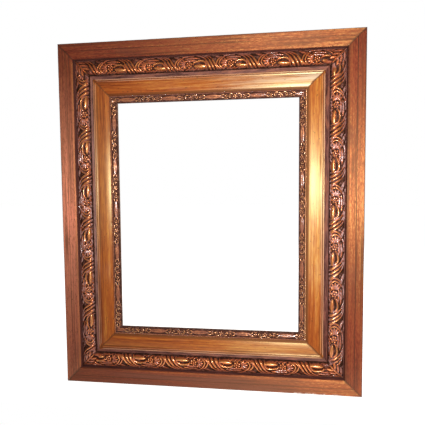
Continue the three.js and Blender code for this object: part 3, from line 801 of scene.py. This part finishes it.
class Finish(Nodes):
    """A node material round one principled shader, with the colour that has been laid on so far."""

    SOCKETS = {
        "colour": "Base Color", "rough": "Roughness", "metal": "Metallic", "depth": "IOR",
        "shine": "Specular IOR Level", "tint": "Specular Tint",
        "varnish": "Coat Weight", "varnish_rough": "Coat Roughness", "varnish_depth": "Coat IOR",
        "glow": "Emission Color", "glow_strength": "Emission Strength",
    }

    def __init__(self, name, place="run"):
        self.material = bpy.data.materials.new(name)
        self.material.use_nodes = True
        super().__init__(self.material.node_tree)
        self.shader = self.tree.nodes["Principled BSDF"].inputs
        if place == "run":
            self.place = self.layer("run", "Vector")
        elif place == "object":
            self.place = self.add("TexCoord", "Object", {})

    def layer(self, name, output="Fac"):
        """A layer of the mesh's points."""
        return self.add("Attribute", output, {}, attribute_name=name)

    def noise(self, stretch, detail, rough):
        """Noise over the surface, with its count per metre along, across and apart."""
        place = self.add("Mapping", "Vector", {"Scale": stretch, "Vector": self.place})
        inputs = {"Scale": 1, "Detail": detail, "Roughness": rough, "Vector": place}
        return self.add("TexNoise", "Fac", inputs)

    def ground(self, value, *stops):
        """Start with colours that go from stop to stop with a value."""
        self.colour = self.add("ValToRGB", "Color", {"Fac": value})
        elements = self.colour.socket.node.color_ramp.elements
        while len(elements) < len(stops):
            elements.new(0.5)
        for element, (place, colour) in zip(elements, stops):
            element.position = place
            element.color = (*colour, 1)

    def cover(self, share, colour):
        """Lay a colour over what is there, by a share."""
        # The colours of a mix node are its inputs 6 and 7 and its output 2
        self.colour = self.add("Mix", 2, {0: share, 6: self.colour, 7: colour}, data_type="RGBA")

    def bump(self, value, distance, strength):
        inputs = {"Strength": strength, "Distance": distance, "Height": value}
        self.feed(self.shader["Normal"], self.add("Bump", "Normal", inputs))

    def brushed(self, amount):
        """Gloss drawn out across the rail, as brushing along it leaves it."""
        self.feed(self.shader["Anisotropic"], amount)
        self.feed(self.shader["Tangent"], self.layer("inward", "Vector"))

    def done(self, **values):
        """The material, with its colour and other values set."""
        for key, value in {"colour": self.colour, **values}.items():
            self.feed(self.shader[self.SOCKETS[key]], value)
        return self.material


def board_finish():
    """Worn bronzing: gold flecks over a red ground, drawn out along the rail, dull under dust and painted
    shade.
    """
    finish = Finish("bronzed_board")
    streaks = finish.noise((8, 420, 1), 5, 0.65)
    flecks = finish.noise((110, 430, 1), 5, 0.65)
    bands = finish.noise((3, 60, 1), 3, 0.5)
    clouds = finish.noise((12, 20, 1), 4, 0.6)
    mixed = streaks * 0.34 + flecks * 0.44 + bands * 0.22
    # The gold layer lifts the ground's colour and its metal most where the lamp's light falls: partly gold
    # left on, partly painted light
    gold_and_light_level = mixed + finish.layer("gold").scaled(-0.07, 0.15)
    finish.ground(gold_and_light_level, (0.34, (0.14, 0.020, 0.012)), (0.44, (0.27, 0.042, 0.022)),
                  (0.54, (0.50, 0.125, 0.045)), (0.64, (0.82, 0.36, 0.12)))
    # The dust layer darkens and dulls, most on the bottom board: dust and painted shade
    lying = finish.layer("dust") * bands.share(0.3, 0.55)
    dust = lying.most(clouds.share(0.48, 0.68) * 0.35) * flecks.share(0.2, 0.45)
    finish.cover(dust, (0.20, 0.064, 0.047))
    # Pale sheen on the middle of the left board: painted sheen
    pale = finish.layer("dust_and_sheen") * mixed.share(0.36, 0.52)
    finish.cover(pale * 0.9, (0.94, 0.31, 0.20))
    dirt = finish.noise((5, 240, 1), 5, 0.6).share(0.5, 0.64) * 0.7
    specks = finish.noise((140, 260, 1), 3, 0.6).share(0.6, 0.7) * 0.7
    finish.cover(dirt.most(specks), (0.13, 0.034, 0.022))
    edge = finish.layer("relief")
    rubbed = edge.share(0.6, 0.95) * streaks.share(0.35, 0.6)
    finish.cover(rubbed * 0.4, (0.60, 0.23, 0.07))
    # Dark where the relief is low: in the section's inner corners, at the mitres, and along the board's
    # darkening, which at the outer edge is painted shade
    hollow = edge.share(0.5, 0.15) * 0.85
    finish.cover(hollow, (0.08, 0.022, 0.017))
    chips = finish.layer("chips") * flecks.share(0.42, 0.5)
    finish.cover(chips, (0.80, 0.66, 0.58))
    gilt = gold_and_light_level.share(0.44, 0.6).scaled(0.0, 0.6) * (1.0 - dust.most(hollow).most(chips))
    finish.brushed(0.84)
    finish.bump(mixed, 0.0008, 0.7)
    return finish.done(rough=streaks.scaled(0.50, 0.66) + dust * 0.25, metal=gilt, depth=1.7, shine=0.65,
                       tint=(1, 0.72, 0.32))


def bed_finish():
    """Fillet: bronze gone brown under a matt film, and worn through in places, with a pale painted sheen."""
    finish = Finish("dusty_bed")
    streaks = finish.noise((30, 200, 1), 5, 0.65)
    clouds = finish.noise((60, 110, 1), 4, 0.6)
    finish.ground(streaks, (0.36, (0.035, 0.008, 0.007)), (0.5, (0.105, 0.028, 0.021)),
                  (0.64, (0.28, 0.092, 0.064)))
    finish.cover(clouds.share(0.45, 0.65) * 0.7, (0.12, 0.039, 0.031))
    worn = finish.noise((22, 130, 1), 4, 0.6).share(0.5, 0.62)
    finish.cover(worn * 0.6, (0.36, 0.115, 0.055))
    # Pale lilac over the fillet, most on the left: painted sheen
    pale = finish.layer("dust_and_sheen") * streaks.share(0.3, 0.55)
    finish.cover(pale * 0.6, (0.40, 0.22, 0.185))
    finish.bump(streaks + clouds, 0.0010, 0.8)
    return finish.done(rough=clouds.scaled(0.46, 0.68), depth=1.5, shine=0.55, tint=(1, 0.64, 0.50))


def dirt_and_shade_finish():
    """Sides and floor of the channel, and the frame's outer edges: dark and matt with old dirt and painted
    shade.
    """
    finish = Finish("dirty_shaded_channel")
    clouds = finish.noise((16, 190, 1), 5, 0.65)
    finish.ground(clouds, (0.35, (0.085, 0.025, 0.019)), (0.52, (0.175, 0.055, 0.041)),
                  (0.7, (0.28, 0.102, 0.076)))
    finish.bump(clouds, 0.0008, 0.7)
    return finish.done(rough=clouds.scaled(0.95, 0.75), shine=0.25)


def ornament_finish(name, dark, middle, light, crest, core):
    """Bronzed composition: dark and dusty in the hollows, rubbed to bright metal on what stands out."""
    finish = Finish(name)
    grains = finish.noise((280, 280, 1), 4, 0.65)
    clouds = finish.noise((24, 40, 1), 3, 0.5)
    specks = finish.noise((110, 140, 1), 3, 0.6)
    level = finish.layer("relief") + (clouds - 0.5) * 0.4 + (grains - 0.5) * 0.4
    finish.ground(level, (0.16, dark), (0.39, middle), (0.60, light), (0.75, crest), (0.92, core))
    dust = specks.share(0.48, 0.64) * 0.5 * level.share(0.6, 0.3)
    finish.cover(dust, (0.26, 0.108, 0.080))
    # Pale pink flecks on the middle levels, most on the right and left garlands: painted glints over dust
    flecks = finish.noise((190, 230, 1), 3, 0.6).share(0.37, 0.57)
    dust_and_sheen = finish.layer("dust_and_sheen")
    below = level.share(0.2, 0.38) * level.share(0.70, 0.54)
    finish.cover(flecks * below * dust_and_sheen * 0.9, (0.82, 0.51, 0.47))
    glints = level.share(0.32, 0.55) * dust_and_sheen.scaled(0.7, 1.0)
    bright = level.share(0.52, 0.72)
    finish.bump(grains, 0.0004, 0.6)
    return finish.done(rough=bright.scaled(0.85, 0.36), metal=bright.scaled(0.0, 0.75), depth=1.5, shine=0.5,
                       tint=(1, 0.72, 0.38), varnish=glints, varnish_rough=0.2, varnish_depth=1.9)


def panel_finish():
    """Burnished panel: orange gold, streaked along the rail, with dark specks and a rubbed edge."""
    finish = Finish("gilt_panel")
    streaks = finish.noise((7, 270, 1), 5, 0.65)
    flecks = finish.noise((50, 360, 1), 4, 0.6)
    bands = finish.noise((2.5, 50, 1), 3, 0.5)
    mixed = streaks * 0.42 + flecks * 0.26 + bands * 0.32
    # The gold layer lifts the panel's colour most on the right and bottom right: partly gold left on, partly
    # painted light
    gold_and_light_level = mixed + finish.layer("gold").scaled(-0.04, 0.12)
    finish.ground(gold_and_light_level, (0.39, (0.17, 0.024, 0.007)), (0.46, (0.34, 0.063, 0.012)),
                  (0.54, (0.49, 0.116, 0.017)), (0.62, (0.67, 0.245, 0.036)), (0.72, (0.88, 0.47, 0.08)))
    # Pale streaks at the top right of the panel: a painted highlight with dust
    pale = finish.layer("dust_and_sheen") * streaks.share(0.4, 0.58)
    finish.cover(pale * 0.7, (0.74, 0.58, 0.43))
    specks = finish.noise((160, 240, 1), 2, 0.5).share(0.66, 0.74)
    finish.cover(specks * 0.75, (0.10, 0.025, 0.012))
    edge = finish.layer("relief")
    rubbed = edge.share(0.56, 0.95) * streaks.share(0.25, 0.55)
    finish.cover(rubbed * 0.6, (0.72, 0.42, 0.28))
    hollow = edge.share(0.46, 0.2)
    finish.cover(hollow * 0.9, (0.16, 0.030, 0.006))
    finish.brushed(0.75)
    finish.bump(mixed, 0.0007, 0.6)
    return finish.done(rough=streaks.scaled(0.32, 0.46) + hollow * 0.45, depth=1.6, shine=1.0,
                       tint=(1, 0.85, 0.42))


def wood_finish(name, dark, middle, light, place="run", stretch=(8, 260, 1)):
    """Bare aged wood with dark stains."""
    finish = Finish(name, place)
    grain = finish.noise(stretch, 6, 0.65)
    stains = finish.noise(tuple(0.12 * value + 4 for value in stretch), 3, 0.5)
    finish.ground(grain, (0.3, dark), (0.5, middle), (0.7, light))
    finish.cover(stains.share(0.5, 0.75) * 0.6, dark)
    finish.bump(grain, 0.0006, 0.6)
    return finish.done(rough=grain.scaled(0.7, 0.92), shine=0.3)


def metal_finish(name, bright, dull, stretch, rough):
    """Old metal: bright, with dull blotches."""
    finish = Finish(name, "object")
    blotches = finish.noise((stretch,) * 3, 5, 0.6)
    fine = finish.noise((stretch * 7,) * 3, 3, 0.6)
    mixed = blotches * 0.7 + fine * 0.3
    finish.ground(mixed, (0.38, dull), (0.6, bright))
    finish.bump(fine, 0.0002, 0.4)
    return finish.done(rough=mixed.scaled(rough + 0.2, rough - 0.1), metal=0.9)


BACK_WOOD = wood_finish("back_pine", (0.17, 0.085, 0.04), (0.34, 0.19, 0.09), (0.47, 0.29, 0.15))
BLOCK_WOOD = wood_finish("block_pine", (0.2, 0.1, 0.045), (0.4, 0.23, 0.11), (0.52, 0.34, 0.18))
KEY_WOOD = wood_finish("key_hardwood", (0.08, 0.03, 0.015), (0.16, 0.07, 0.03), (0.24, 0.11, 0.05), "object",
                       (120, 120, 120))
BRASS = metal_finish("tarnished_brass", (0.55, 0.36, 0.12), (0.22, 0.13, 0.05), 120, 0.4)
STEEL = metal_finish("dull_steel", (0.42, 0.40, 0.37), (0.16, 0.14, 0.125), 150, 0.42)
BOARD = board_finish()
BED = bed_finish()
DIRT_AND_SHADE_FINISH = dirt_and_shade_finish()
PANEL = panel_finish()
GARLAND = ornament_finish("bronzed_garland", (0.036, 0.008, 0.006), (0.170, 0.035, 0.020),
                          (0.53, 0.122, 0.044), (0.95, 0.28, 0.070), (1.0, 0.41, 0.120))
STRIP = ornament_finish("bronzed_strip", (0.052, 0.014, 0.012), (0.155, 0.047, 0.036),
                        (0.40, 0.126, 0.058), (0.90, 0.37, 0.14), (0.98, 0.52, 0.24))


def fit(piece, body, node):
    """Let a piece ride on a body in the place of a solid."""
    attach(piece, body)
    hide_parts(node)


# The rails
BOARD_LAYERS = {"gold": BOARD_GOLD_AND_LIGHT, "dust_and_sheen": BOARD_PAINTED_SHEEN, "dust": board_dust_and_shade, "chips": board_chips}
BED_LAYERS = {"dust_and_sheen": FILLET_PAINTED_SHEEN}
PANEL_LAYERS = {"gold": PANEL_GOLD_AND_LIGHT, "dust_and_sheen": PANEL_DUST_AND_SHEEN}
garland_rise = garland_sheet()
strip_rise = strip_sheet()
for side in SIDES:
    board = plain_rail(f"bronzed_board_{side}", side, board_section(), [BOARD, BACK_WOOD, DIRT_AND_SHADE_FINISH], 0.5,
                       board_darkening, BOARD_LAYERS)
    fit(board, "frame", f"outer_board_{side}")
    bed = plain_rail(f"dusty_bed_{side}", side, bed_section(), [BED, BACK_WOOD, DIRT_AND_SHADE_FINISH], 0.2, None, BED_LAYERS)
    fit(bed, "frame", f"channel_bed_{side}")
    fit(garland(side, garland_rise, [GARLAND, BACK_WOOD]), "frame", f"garland_{side}")
    panel = plain_rail(f"gilt_panel_{side}", side, panel_section(), [PANEL, BACK_WOOD, DIRT_AND_SHADE_FINISH], 0.35,
                       panel_darkening, PANEL_LAYERS)
    fit(panel, "frame", f"inner_panel_{side}")
    fit(strip(side, strip_rise, [STRIP, BACK_WOOD]), "frame", f"sight_strip_{side}")

# Hardware of the back, in mm, placed where its solids lie
RING_WIRE = 2.6
RING_HALF = 8.5
RING_DROP = 19.5
RING_CORNER = 2
WIRE_SIDES = 16
STRAP_WIDTH = 12
STRAP_THICKNESS = 1.5
STRAP_LENGTH = 44
STRAP_END_ROUND = 3
STRAP_SOFT = 0.4
LOOP_RADIUS = 3.2
HEAD_RADIUS = 3.6
HEAD_HEIGHT = 2.2
SHANK_RADIUS = 1.7
SHANK_LENGTH = 11
HOLE_CLEARANCE = 0.3
POINT_LENGTH = 3
SLOT_WIDTH = 0.9
SLOT_DEPTH = 0.8
SLOT_WALL = 0.01
SCREW_SIDES = 40
BUTTON_ROUND = 6
BUTTON_TIP = 3.5
BUTTON_THICKNESS = 1.8
BUTTON_EDGE = ((0.4, 0), (0.1, 0.12), (0, 0.4), (0, 1.4), (0.1, 1.68), (0.45, BUTTON_THICKNESS))
BLOCK_LENGTH = 60
BLOCK_WIDTH = 13
BLOCK_NOSE = 4
BLOCK_SETBACK = 1
BLOCK_END_DISTANCE = 150
BLOCK_CORNER_WEAR = 0.6
BLOCK_END_WEAR = 0.7
KEY_LEG = 34
KEY_CORNER = 0.5
KEY_PROUD = 0.12


def solid_box(node):
    """Lowest and highest corner of a solid, in mm."""
    low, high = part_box(node)
    return np.array(low) / MM, np.array(high) / MM


def loft(rings, closed):
    """A shape over rings of points; a closed one runs back to its first ring, an open one is capped."""
    count, size = rings.shape[:2]
    shape = bmesh.new()
    corners = [shape.verts.new(point) for point in rings.reshape(-1, 3).tolist()]
    for ring in range(count if closed else count - 1):
        here = corners[ring * size:(ring + 1) * size]
        start = (ring + 1) % count * size
        there = corners[start:start + size]
        for point in range(size):
            turn = (point + 1) % size
            shape.faces.new((here[point], there[point], there[turn], here[turn]))
    if not closed:
        shape.faces.new(corners[:size])
        shape.faces.new(corners[-size:])
    return shape


def shape_piece(name, shape, finish):
    bmesh.ops.recalc_face_normals(shape, faces=shape.faces)
    mesh = bpy.data.meshes.new(name)
    shape.to_mesh(mesh)
    shape.free()
    mesh.materials.append(finish)
    return smooth_piece(name, mesh)


def ring_bar(hand):
    """Middle of the bar of a hanger's ring."""
    low, high = solid_box(f"hanger_ring_{hand}")
    middle = (low + high) / 2
    return np.array([middle[0], middle[1], high[2] - RING_WIRE / 2])


def off_path(path, heading, out):
    """Both coordinates of points that lie off a flat path, out to the left of its heading."""
    heading = heading / np.linalg.norm(heading, axis=1)[:, None]
    return path[:, 0, None] - heading[:, 1, None] * out, path[:, 1, None] + heading[:, 0, None] * out


def hanger_ring(hand):
    """Round wire bent to a D, hanging from its bar."""
    corner = RING_HALF - RING_CORNER
    bow = RING_HALF - RING_DROP
    path = line((-corner, 0), (corner, 0), 1)
    path += arc((corner, -RING_CORNER), RING_CORNER, 90, 0, 6)
    path += line((RING_HALF, -RING_CORNER), (RING_HALF, bow), 1.5)
    path += arc((0, bow), RING_HALF, 0, -180, 28)
    path += line((-RING_HALF, bow), (-RING_HALF, -RING_CORNER), 1.5)
    path += arc((-corner, -RING_CORNER), RING_CORNER, 180, 90, 6)
    path = np.array(path)
    angles = np.linspace(0, 2 * math.pi, WIRE_SIDES, endpoint=False)
    out = np.cos(angles)[None, :] * RING_WIRE / 2
    x, z = off_path(path, np.roll(path, -1, axis=0) - np.roll(path, 1, axis=0), out)
    y = np.broadcast_to(np.sin(angles) * RING_WIRE / 2, x.shape)
    rings = np.stack([x, y, z], axis=-1) + ring_bar(hand)
    return shape_piece(f"wire_ring_{hand}", loft(rings * MM, True), STEEL)


def hanger_strap(hand):
    """A plate folded round the ring's bar: a flat section with soft edges, swept up and round the loop."""
    bend_radius = LOOP_RADIUS - STRAP_THICKNESS / 2
    meeting = math.degrees(math.asin((LOOP_RADIUS - STRAP_THICKNESS) / LOOP_RADIUS))
    path = [(STRAP_END_ROUND * (1 - math.cos(math.radians(angle))) - STRAP_LENGTH, -bend_radius)
            for angle in range(0, 90, 15)]
    path += line((STRAP_END_ROUND - STRAP_LENGTH, -bend_radius), (0, -bend_radius), 1.5)
    path += arc((0, 0), bend_radius, -90, 176 + meeting, 32)
    path = np.array(path)
    from_end = path[:, 0] + STRAP_LENGTH
    cut = np.clip(STRAP_END_ROUND - from_end, 0, None) * (np.arange(len(path)) < len(path) / 2)
    half = STRAP_WIDTH / 2 - STRAP_END_ROUND + np.sqrt(STRAP_END_ROUND ** 2 - cut ** 2)
    flat = STRAP_THICKNESS / 2 - STRAP_SOFT
    edge = np.array(arc((0, flat), STRAP_SOFT, 0, 90, 4) + arc((0, -flat), STRAP_SOFT, 270, 360, 4))
    right = half[:, None] + (edge[:, 0] - STRAP_SOFT)[None, :]
    x = np.concatenate([right, -right[:, ::-1]], axis=1)
    through = np.concatenate([edge[:, 1], edge[::-1, 1]])[None, :]
    z, y = off_path(path, np.gradient(path, axis=0), through)
    rings = np.stack([x, y, z], axis=-1) + ring_bar(hand)
    return shape_piece(f"folded_strap_{hand}", loft(rings * MM, False), BRASS)


def slotted_screw(node, turn):
    """A round head with a slot, on a shank with a point, where the screw's solid lies."""
    low, high = solid_box(node)
    middle = (low + high) / 2
    seat = Vector((middle[0], high[1] - HEAD_HEIGHT, middle[2]))
    profile = [(0.05, -SHANK_LENGTH - POINT_LENGTH), (SHANK_RADIUS, -SHANK_LENGTH), (SHANK_RADIUS, 0)]
    profile += [(HEAD_RADIUS * math.cos(math.radians(angle)), HEAD_HEIGHT * math.sin(math.radians(angle)))
                for angle in range(0, 89, 8)]
    angles = np.linspace(0, 2 * math.pi, SCREW_SIDES, endpoint=False)
    rings = [[(radius * math.cos(angle), height, radius * math.sin(angle)) for angle in angles]
             for radius, height in profile]
    shape = loft(np.array(rings), False)
    half = SLOT_WIDTH / 2
    for offset in (-half, -half + SLOT_WALL, half - SLOT_WALL, half):
        parts = list(shape.verts) + list(shape.edges) + list(shape.faces)
        bmesh.ops.bisect_plane(shape, geom=parts, plane_co=(0, 0, offset), plane_no=(0, 0, 1))
    slot_floor = HEAD_HEIGHT - SLOT_DEPTH
    for corner in shape.verts:
        if abs(corner.co.z) < half - SLOT_WALL / 2 and corner.co.y > slot_floor:
            corner.co.y = slot_floor
    bmesh.ops.rotate(shape, verts=shape.verts, matrix=Matrix.Rotation(turn, 3, "Y"))
    for corner in shape.verts:
        corner.co = (corner.co + seat) * MM
    return shape_piece(f"slotted_{node}", shape, STEEL)


def turn_button(name, side):
    """A stamped plate with soft edges and a hole for its screw, round at its pivot and narrow at its tip."""
    low, high = solid_box(f"button_screw_{name}")
    pivot = (low + high) / 2
    plate_low, plate_high = solid_box(f"turn_button_{name}")
    pivot[1] = plate_low[1]
    extent = plate_high - plate_low
    tip = max(extent[0], extent[2]) - BUTTON_ROUND - BUTTON_TIP
    outlines = []
    for setback, height in BUTTON_EDGE:
        outline = arc((0, 0), BUTTON_ROUND - setback, 90, 270, 20) + [(0, setback - BUTTON_ROUND)]
        outline += arc((tip, 0), BUTTON_TIP - setback, -90, 90, 14) + [(tip, BUTTON_TIP - setback)]
        outlines.append((outline, height))
    hole = arc((0, 0), SHANK_RADIUS + HOLE_CLEARANCE, 90, 450, len(outlines[0][0]))
    rings = []
    for outline, height in [(hole, 0)] + outlines + [(hole, BUTTON_THICKNESS)]:
        flat = np.array(outline)
        along = flat[:, :1] * np.array(ALONG[side])[None, :]
        across = flat[:, 1:] * np.array(INWARD[side])[None, :]
        rings.append(pivot + along + across + np.array([0, height, 0]))
    return shape_piece(f"brass_button_{name}", loft(np.array(rings) * MM, True), BRASS)


def glue_block(side, tag):
    """A sawn stick in the angle behind the board, its corners a little worn."""
    outer = BOARD_WALL + JOINT_GAP
    top = BACK_RECESS - JOINT_GAP
    inner = outer + BLOCK_WIDTH
    outline = [(outer, BLOCK_SETBACK), (outer, top), (inner, top), (inner, top - BLOCK_NOSE),
               (outer + BLOCK_NOSE, BLOCK_SETBACK)]
    points = []
    for corner, before, after in zip(outline, outline[-1:] + outline[:-1], outline[1:] + outline[:1]):
        into, leaving = (np.array(corner) - np.array(other) for other in (before, after))
        start = np.array(corner) - BLOCK_CORNER_WEAR * into / np.linalg.norm(into)
        end = np.array(corner) - BLOCK_CORNER_WEAR * leaving / np.linalg.norm(leaving)
        points += bend(tuple(start), corner, tuple(end), 3) + [tuple(end)]
    points = np.array(points)
    centre = (side_lengths(side)[0] / 2 - BLOCK_END_DISTANCE) * (-1 if tag == "a" else 1)
    half = BLOCK_LENGTH / 2
    near_end = np.array([0, 0.2, BLOCK_END_WEAR])
    steps = np.concatenate([near_end - half, np.linspace(4 - half, half - 4, 14), half - near_end[::-1]])
    shrink = BLOCK_END_WEAR * np.clip(1 - (half - np.abs(steps)) / BLOCK_END_WEAR, 0, 1) ** 2
    heart = points.mean(axis=0)
    away = (points - heart) / np.linalg.norm(points - heart, axis=1)[:, None]
    along = np.broadcast_to((centre + steps)[:, None], (len(steps), len(points)))
    inset = points[None, :, 0] - shrink[:, None] * away[None, :, 0]
    height = points[None, :, 1] - shrink[:, None] * away[None, :, 1]
    sawn = 0.25 * soft_noise(along / 3, inset / 4, SIDES[side] * 3 + len(tag)) * (height < top - 1)
    grid = to_world(side, along, inset, height + sawn)
    run = run_of(side, along, inset + height)
    relief = np.full(along.shape, 0.5)
    marks = np.full(len(points), FACE)
    return skin(f"sawn_block_{side}_{tag}", side, grid, run, relief, marks, [BLOCK_WOOD, BLOCK_WOOD])


def mitre_key(level, hand):
    """A thin plate let into the mitre, its edges a hair proud of the frame's outer faces."""
    low, high = solid_box(f"mitre_key_{level}_{hand}")
    way = np.array([1 if hand == "left" else -1, 1 if level == "bottom" else -1])
    outer = np.array([low[0] if hand == "left" else high[0], low[2] if level == "bottom" else high[2]])
    outline = np.array([(-KEY_PROUD, -KEY_PROUD), (KEY_LEG, -KEY_PROUD), (KEY_LEG - KEY_CORNER, KEY_CORNER),
                        (KEY_CORNER, KEY_LEG - KEY_CORNER), (-KEY_PROUD, KEY_LEG)])
    flat = outer + outline * way
    rings = np.array([[(x, depth, z) for x, z in flat] for depth in (low[1], high[1])])
    return shape_piece(f"thin_key_{level}_{hand}", loft(rings * MM, False), KEY_WOOD)


# Each screw is turned on from the one before, so that their slots point different ways
SCREW_TURN = 1.1
screw_turn = 0.3
for hand in ("left", "right"):
    fit(hanger_ring(hand), f"ring_{hand}", f"hanger_ring_{hand}")
    fit(hanger_strap(hand), "frame", f"hanger_strap_{hand}")
    for number in (1, 2):
        node = f"hanger_screw_{hand}_{number}"
        screw_turn += SCREW_TURN
        fit(slotted_screw(node, screw_turn), "frame", node)
    for level in ("bottom", "top"):
        fit(mitre_key(level, hand), "frame", f"mitre_key_{level}_{hand}")
for side in SIDES:
    names = [side] if side in ("bottom", "top") else [f"{side}_upper", f"{side}_lower"]
    for name in names:
        fit(turn_button(name, side), f"button_{name}", f"turn_button_{name}")
        node = f"button_screw_{name}"
        screw_turn += SCREW_TURN
        fit(slotted_screw(node, screw_turn), "frame", node)
    for tag in "ab":
        fit(glue_block(side, tag), "frame", f"glue_block_{side}_{tag}")


# Stage
def floor_finish():
    """Pale floor that shows white to the camera, in gloss and through glass, and keeps the shadow."""
    finish = Finish("pale_floor", None)
    finish.colour = (0.9, 0.9, 0.9)
    ray = finish.add("LightPath", "Is Camera Ray", {})
    direct = ray.most(ray.also("Is Glossy Ray")).most(ray.also("Is Transmission Ray"))
    return finish.done(rough=0.9, shine=0, glow=(1, 1, 1), glow_strength=direct * 0.9)


FLOOR_REACH = 8
FLOOR_FRONT = -0.15
floor_corners = [(-FLOOR_REACH, FLOOR_FRONT), (FLOOR_REACH, FLOOR_FRONT), (FLOOR_REACH, FLOOR_REACH),
                 (-FLOOR_REACH, FLOOR_REACH)]
floor_mesh = bpy.data.meshes.new("floor")
floor_mesh.from_pydata([(x, y, cad_low.z) for x, y in floor_corners], [], [(0, 1, 2, 3)])
floor_mesh.materials.append(floor_finish())
floor = put("floor", floor_mesh)

# Room: white to the camera, dim to matt surfaces, and in gloss brighter behind the frame than before it
AMBIENT = 0.12
DIM_SIDE = 0.12
world = bpy.data.worlds.new("pale_room")
bpy.context.scene.world = world
world.use_nodes = True
room = Nodes(world.node_tree)
backward = room.add("SeparateXYZ", "Y", {"Vector": room.add("TexCoord", "Generated", {})})
fade = {"Value": backward, "From Min": -0.05, "From Max": 0.7, "To Min": DIM_SIDE}
mirrored = room.add("MapRange", "Result", fade, interpolation_type="SMOOTHSTEP")
ray = room.add("LightPath", "Is Camera Ray", {})
unseen = room.add("Mix", "Result", {"Factor": ray.also("Is Glossy Ray"), "A": AMBIENT, "B": mirrored})
in_view = ray.most(ray.also("Is Transmission Ray"))
sky = world.node_tree.nodes["Background"].inputs
room.feed(sky["Color"], (1, 1, 1))
room.feed(sky["Strength"], room.add("Mix", "Result", {"Factor": in_view, "A": unseen, "B": 1}))


def lamp(name, kind, power, place, target, **settings):
    """A lamp that points from its place to its target."""
    data = bpy.data.lights.new(name, kind)
    data.energy = power
    for setting, value in settings.items():
        setattr(data, setting, value)
    light = put(name, data)
    light.location = place
    heading = Vector(target) - Vector(place)
    light.rotation_euler = heading.to_track_quat("-Z", "Y").to_euler()


lamp("lamp_by_camera", "SPOT", 44, (0.25, -0.98, -0.30), (0.15, 0, -0.26),
     shadow_soft_size=0.05, spot_size=math.radians(100), spot_blend=1)
lamp("lamp_behind", "AREA", 25, (0.5, 1.6, 0.7), (0, 0, MIDDLE_Z * MM), shape="DISK", size=1.2)

# Camera at the photograph's angle
IMAGE_SIZE = 425
FOCAL_PIXELS = 430
camera_data = bpy.data.cameras.new("camera")
camera_data.sensor_width = 36
camera_data.lens = camera_data.sensor_width * FOCAL_PIXELS / IMAGE_SIZE
camera_data.clip_start = 0.01
camera = put("camera", camera_data)
camera.location = (0.1412, -0.9701, -0.3033)
camera.rotation_euler = Euler([math.radians(angle) for angle in (86.318, 0.479, 7.766)])
bpy.context.scene.camera = camera
bpy.context.scene.view_settings.view_transform = "Standard"
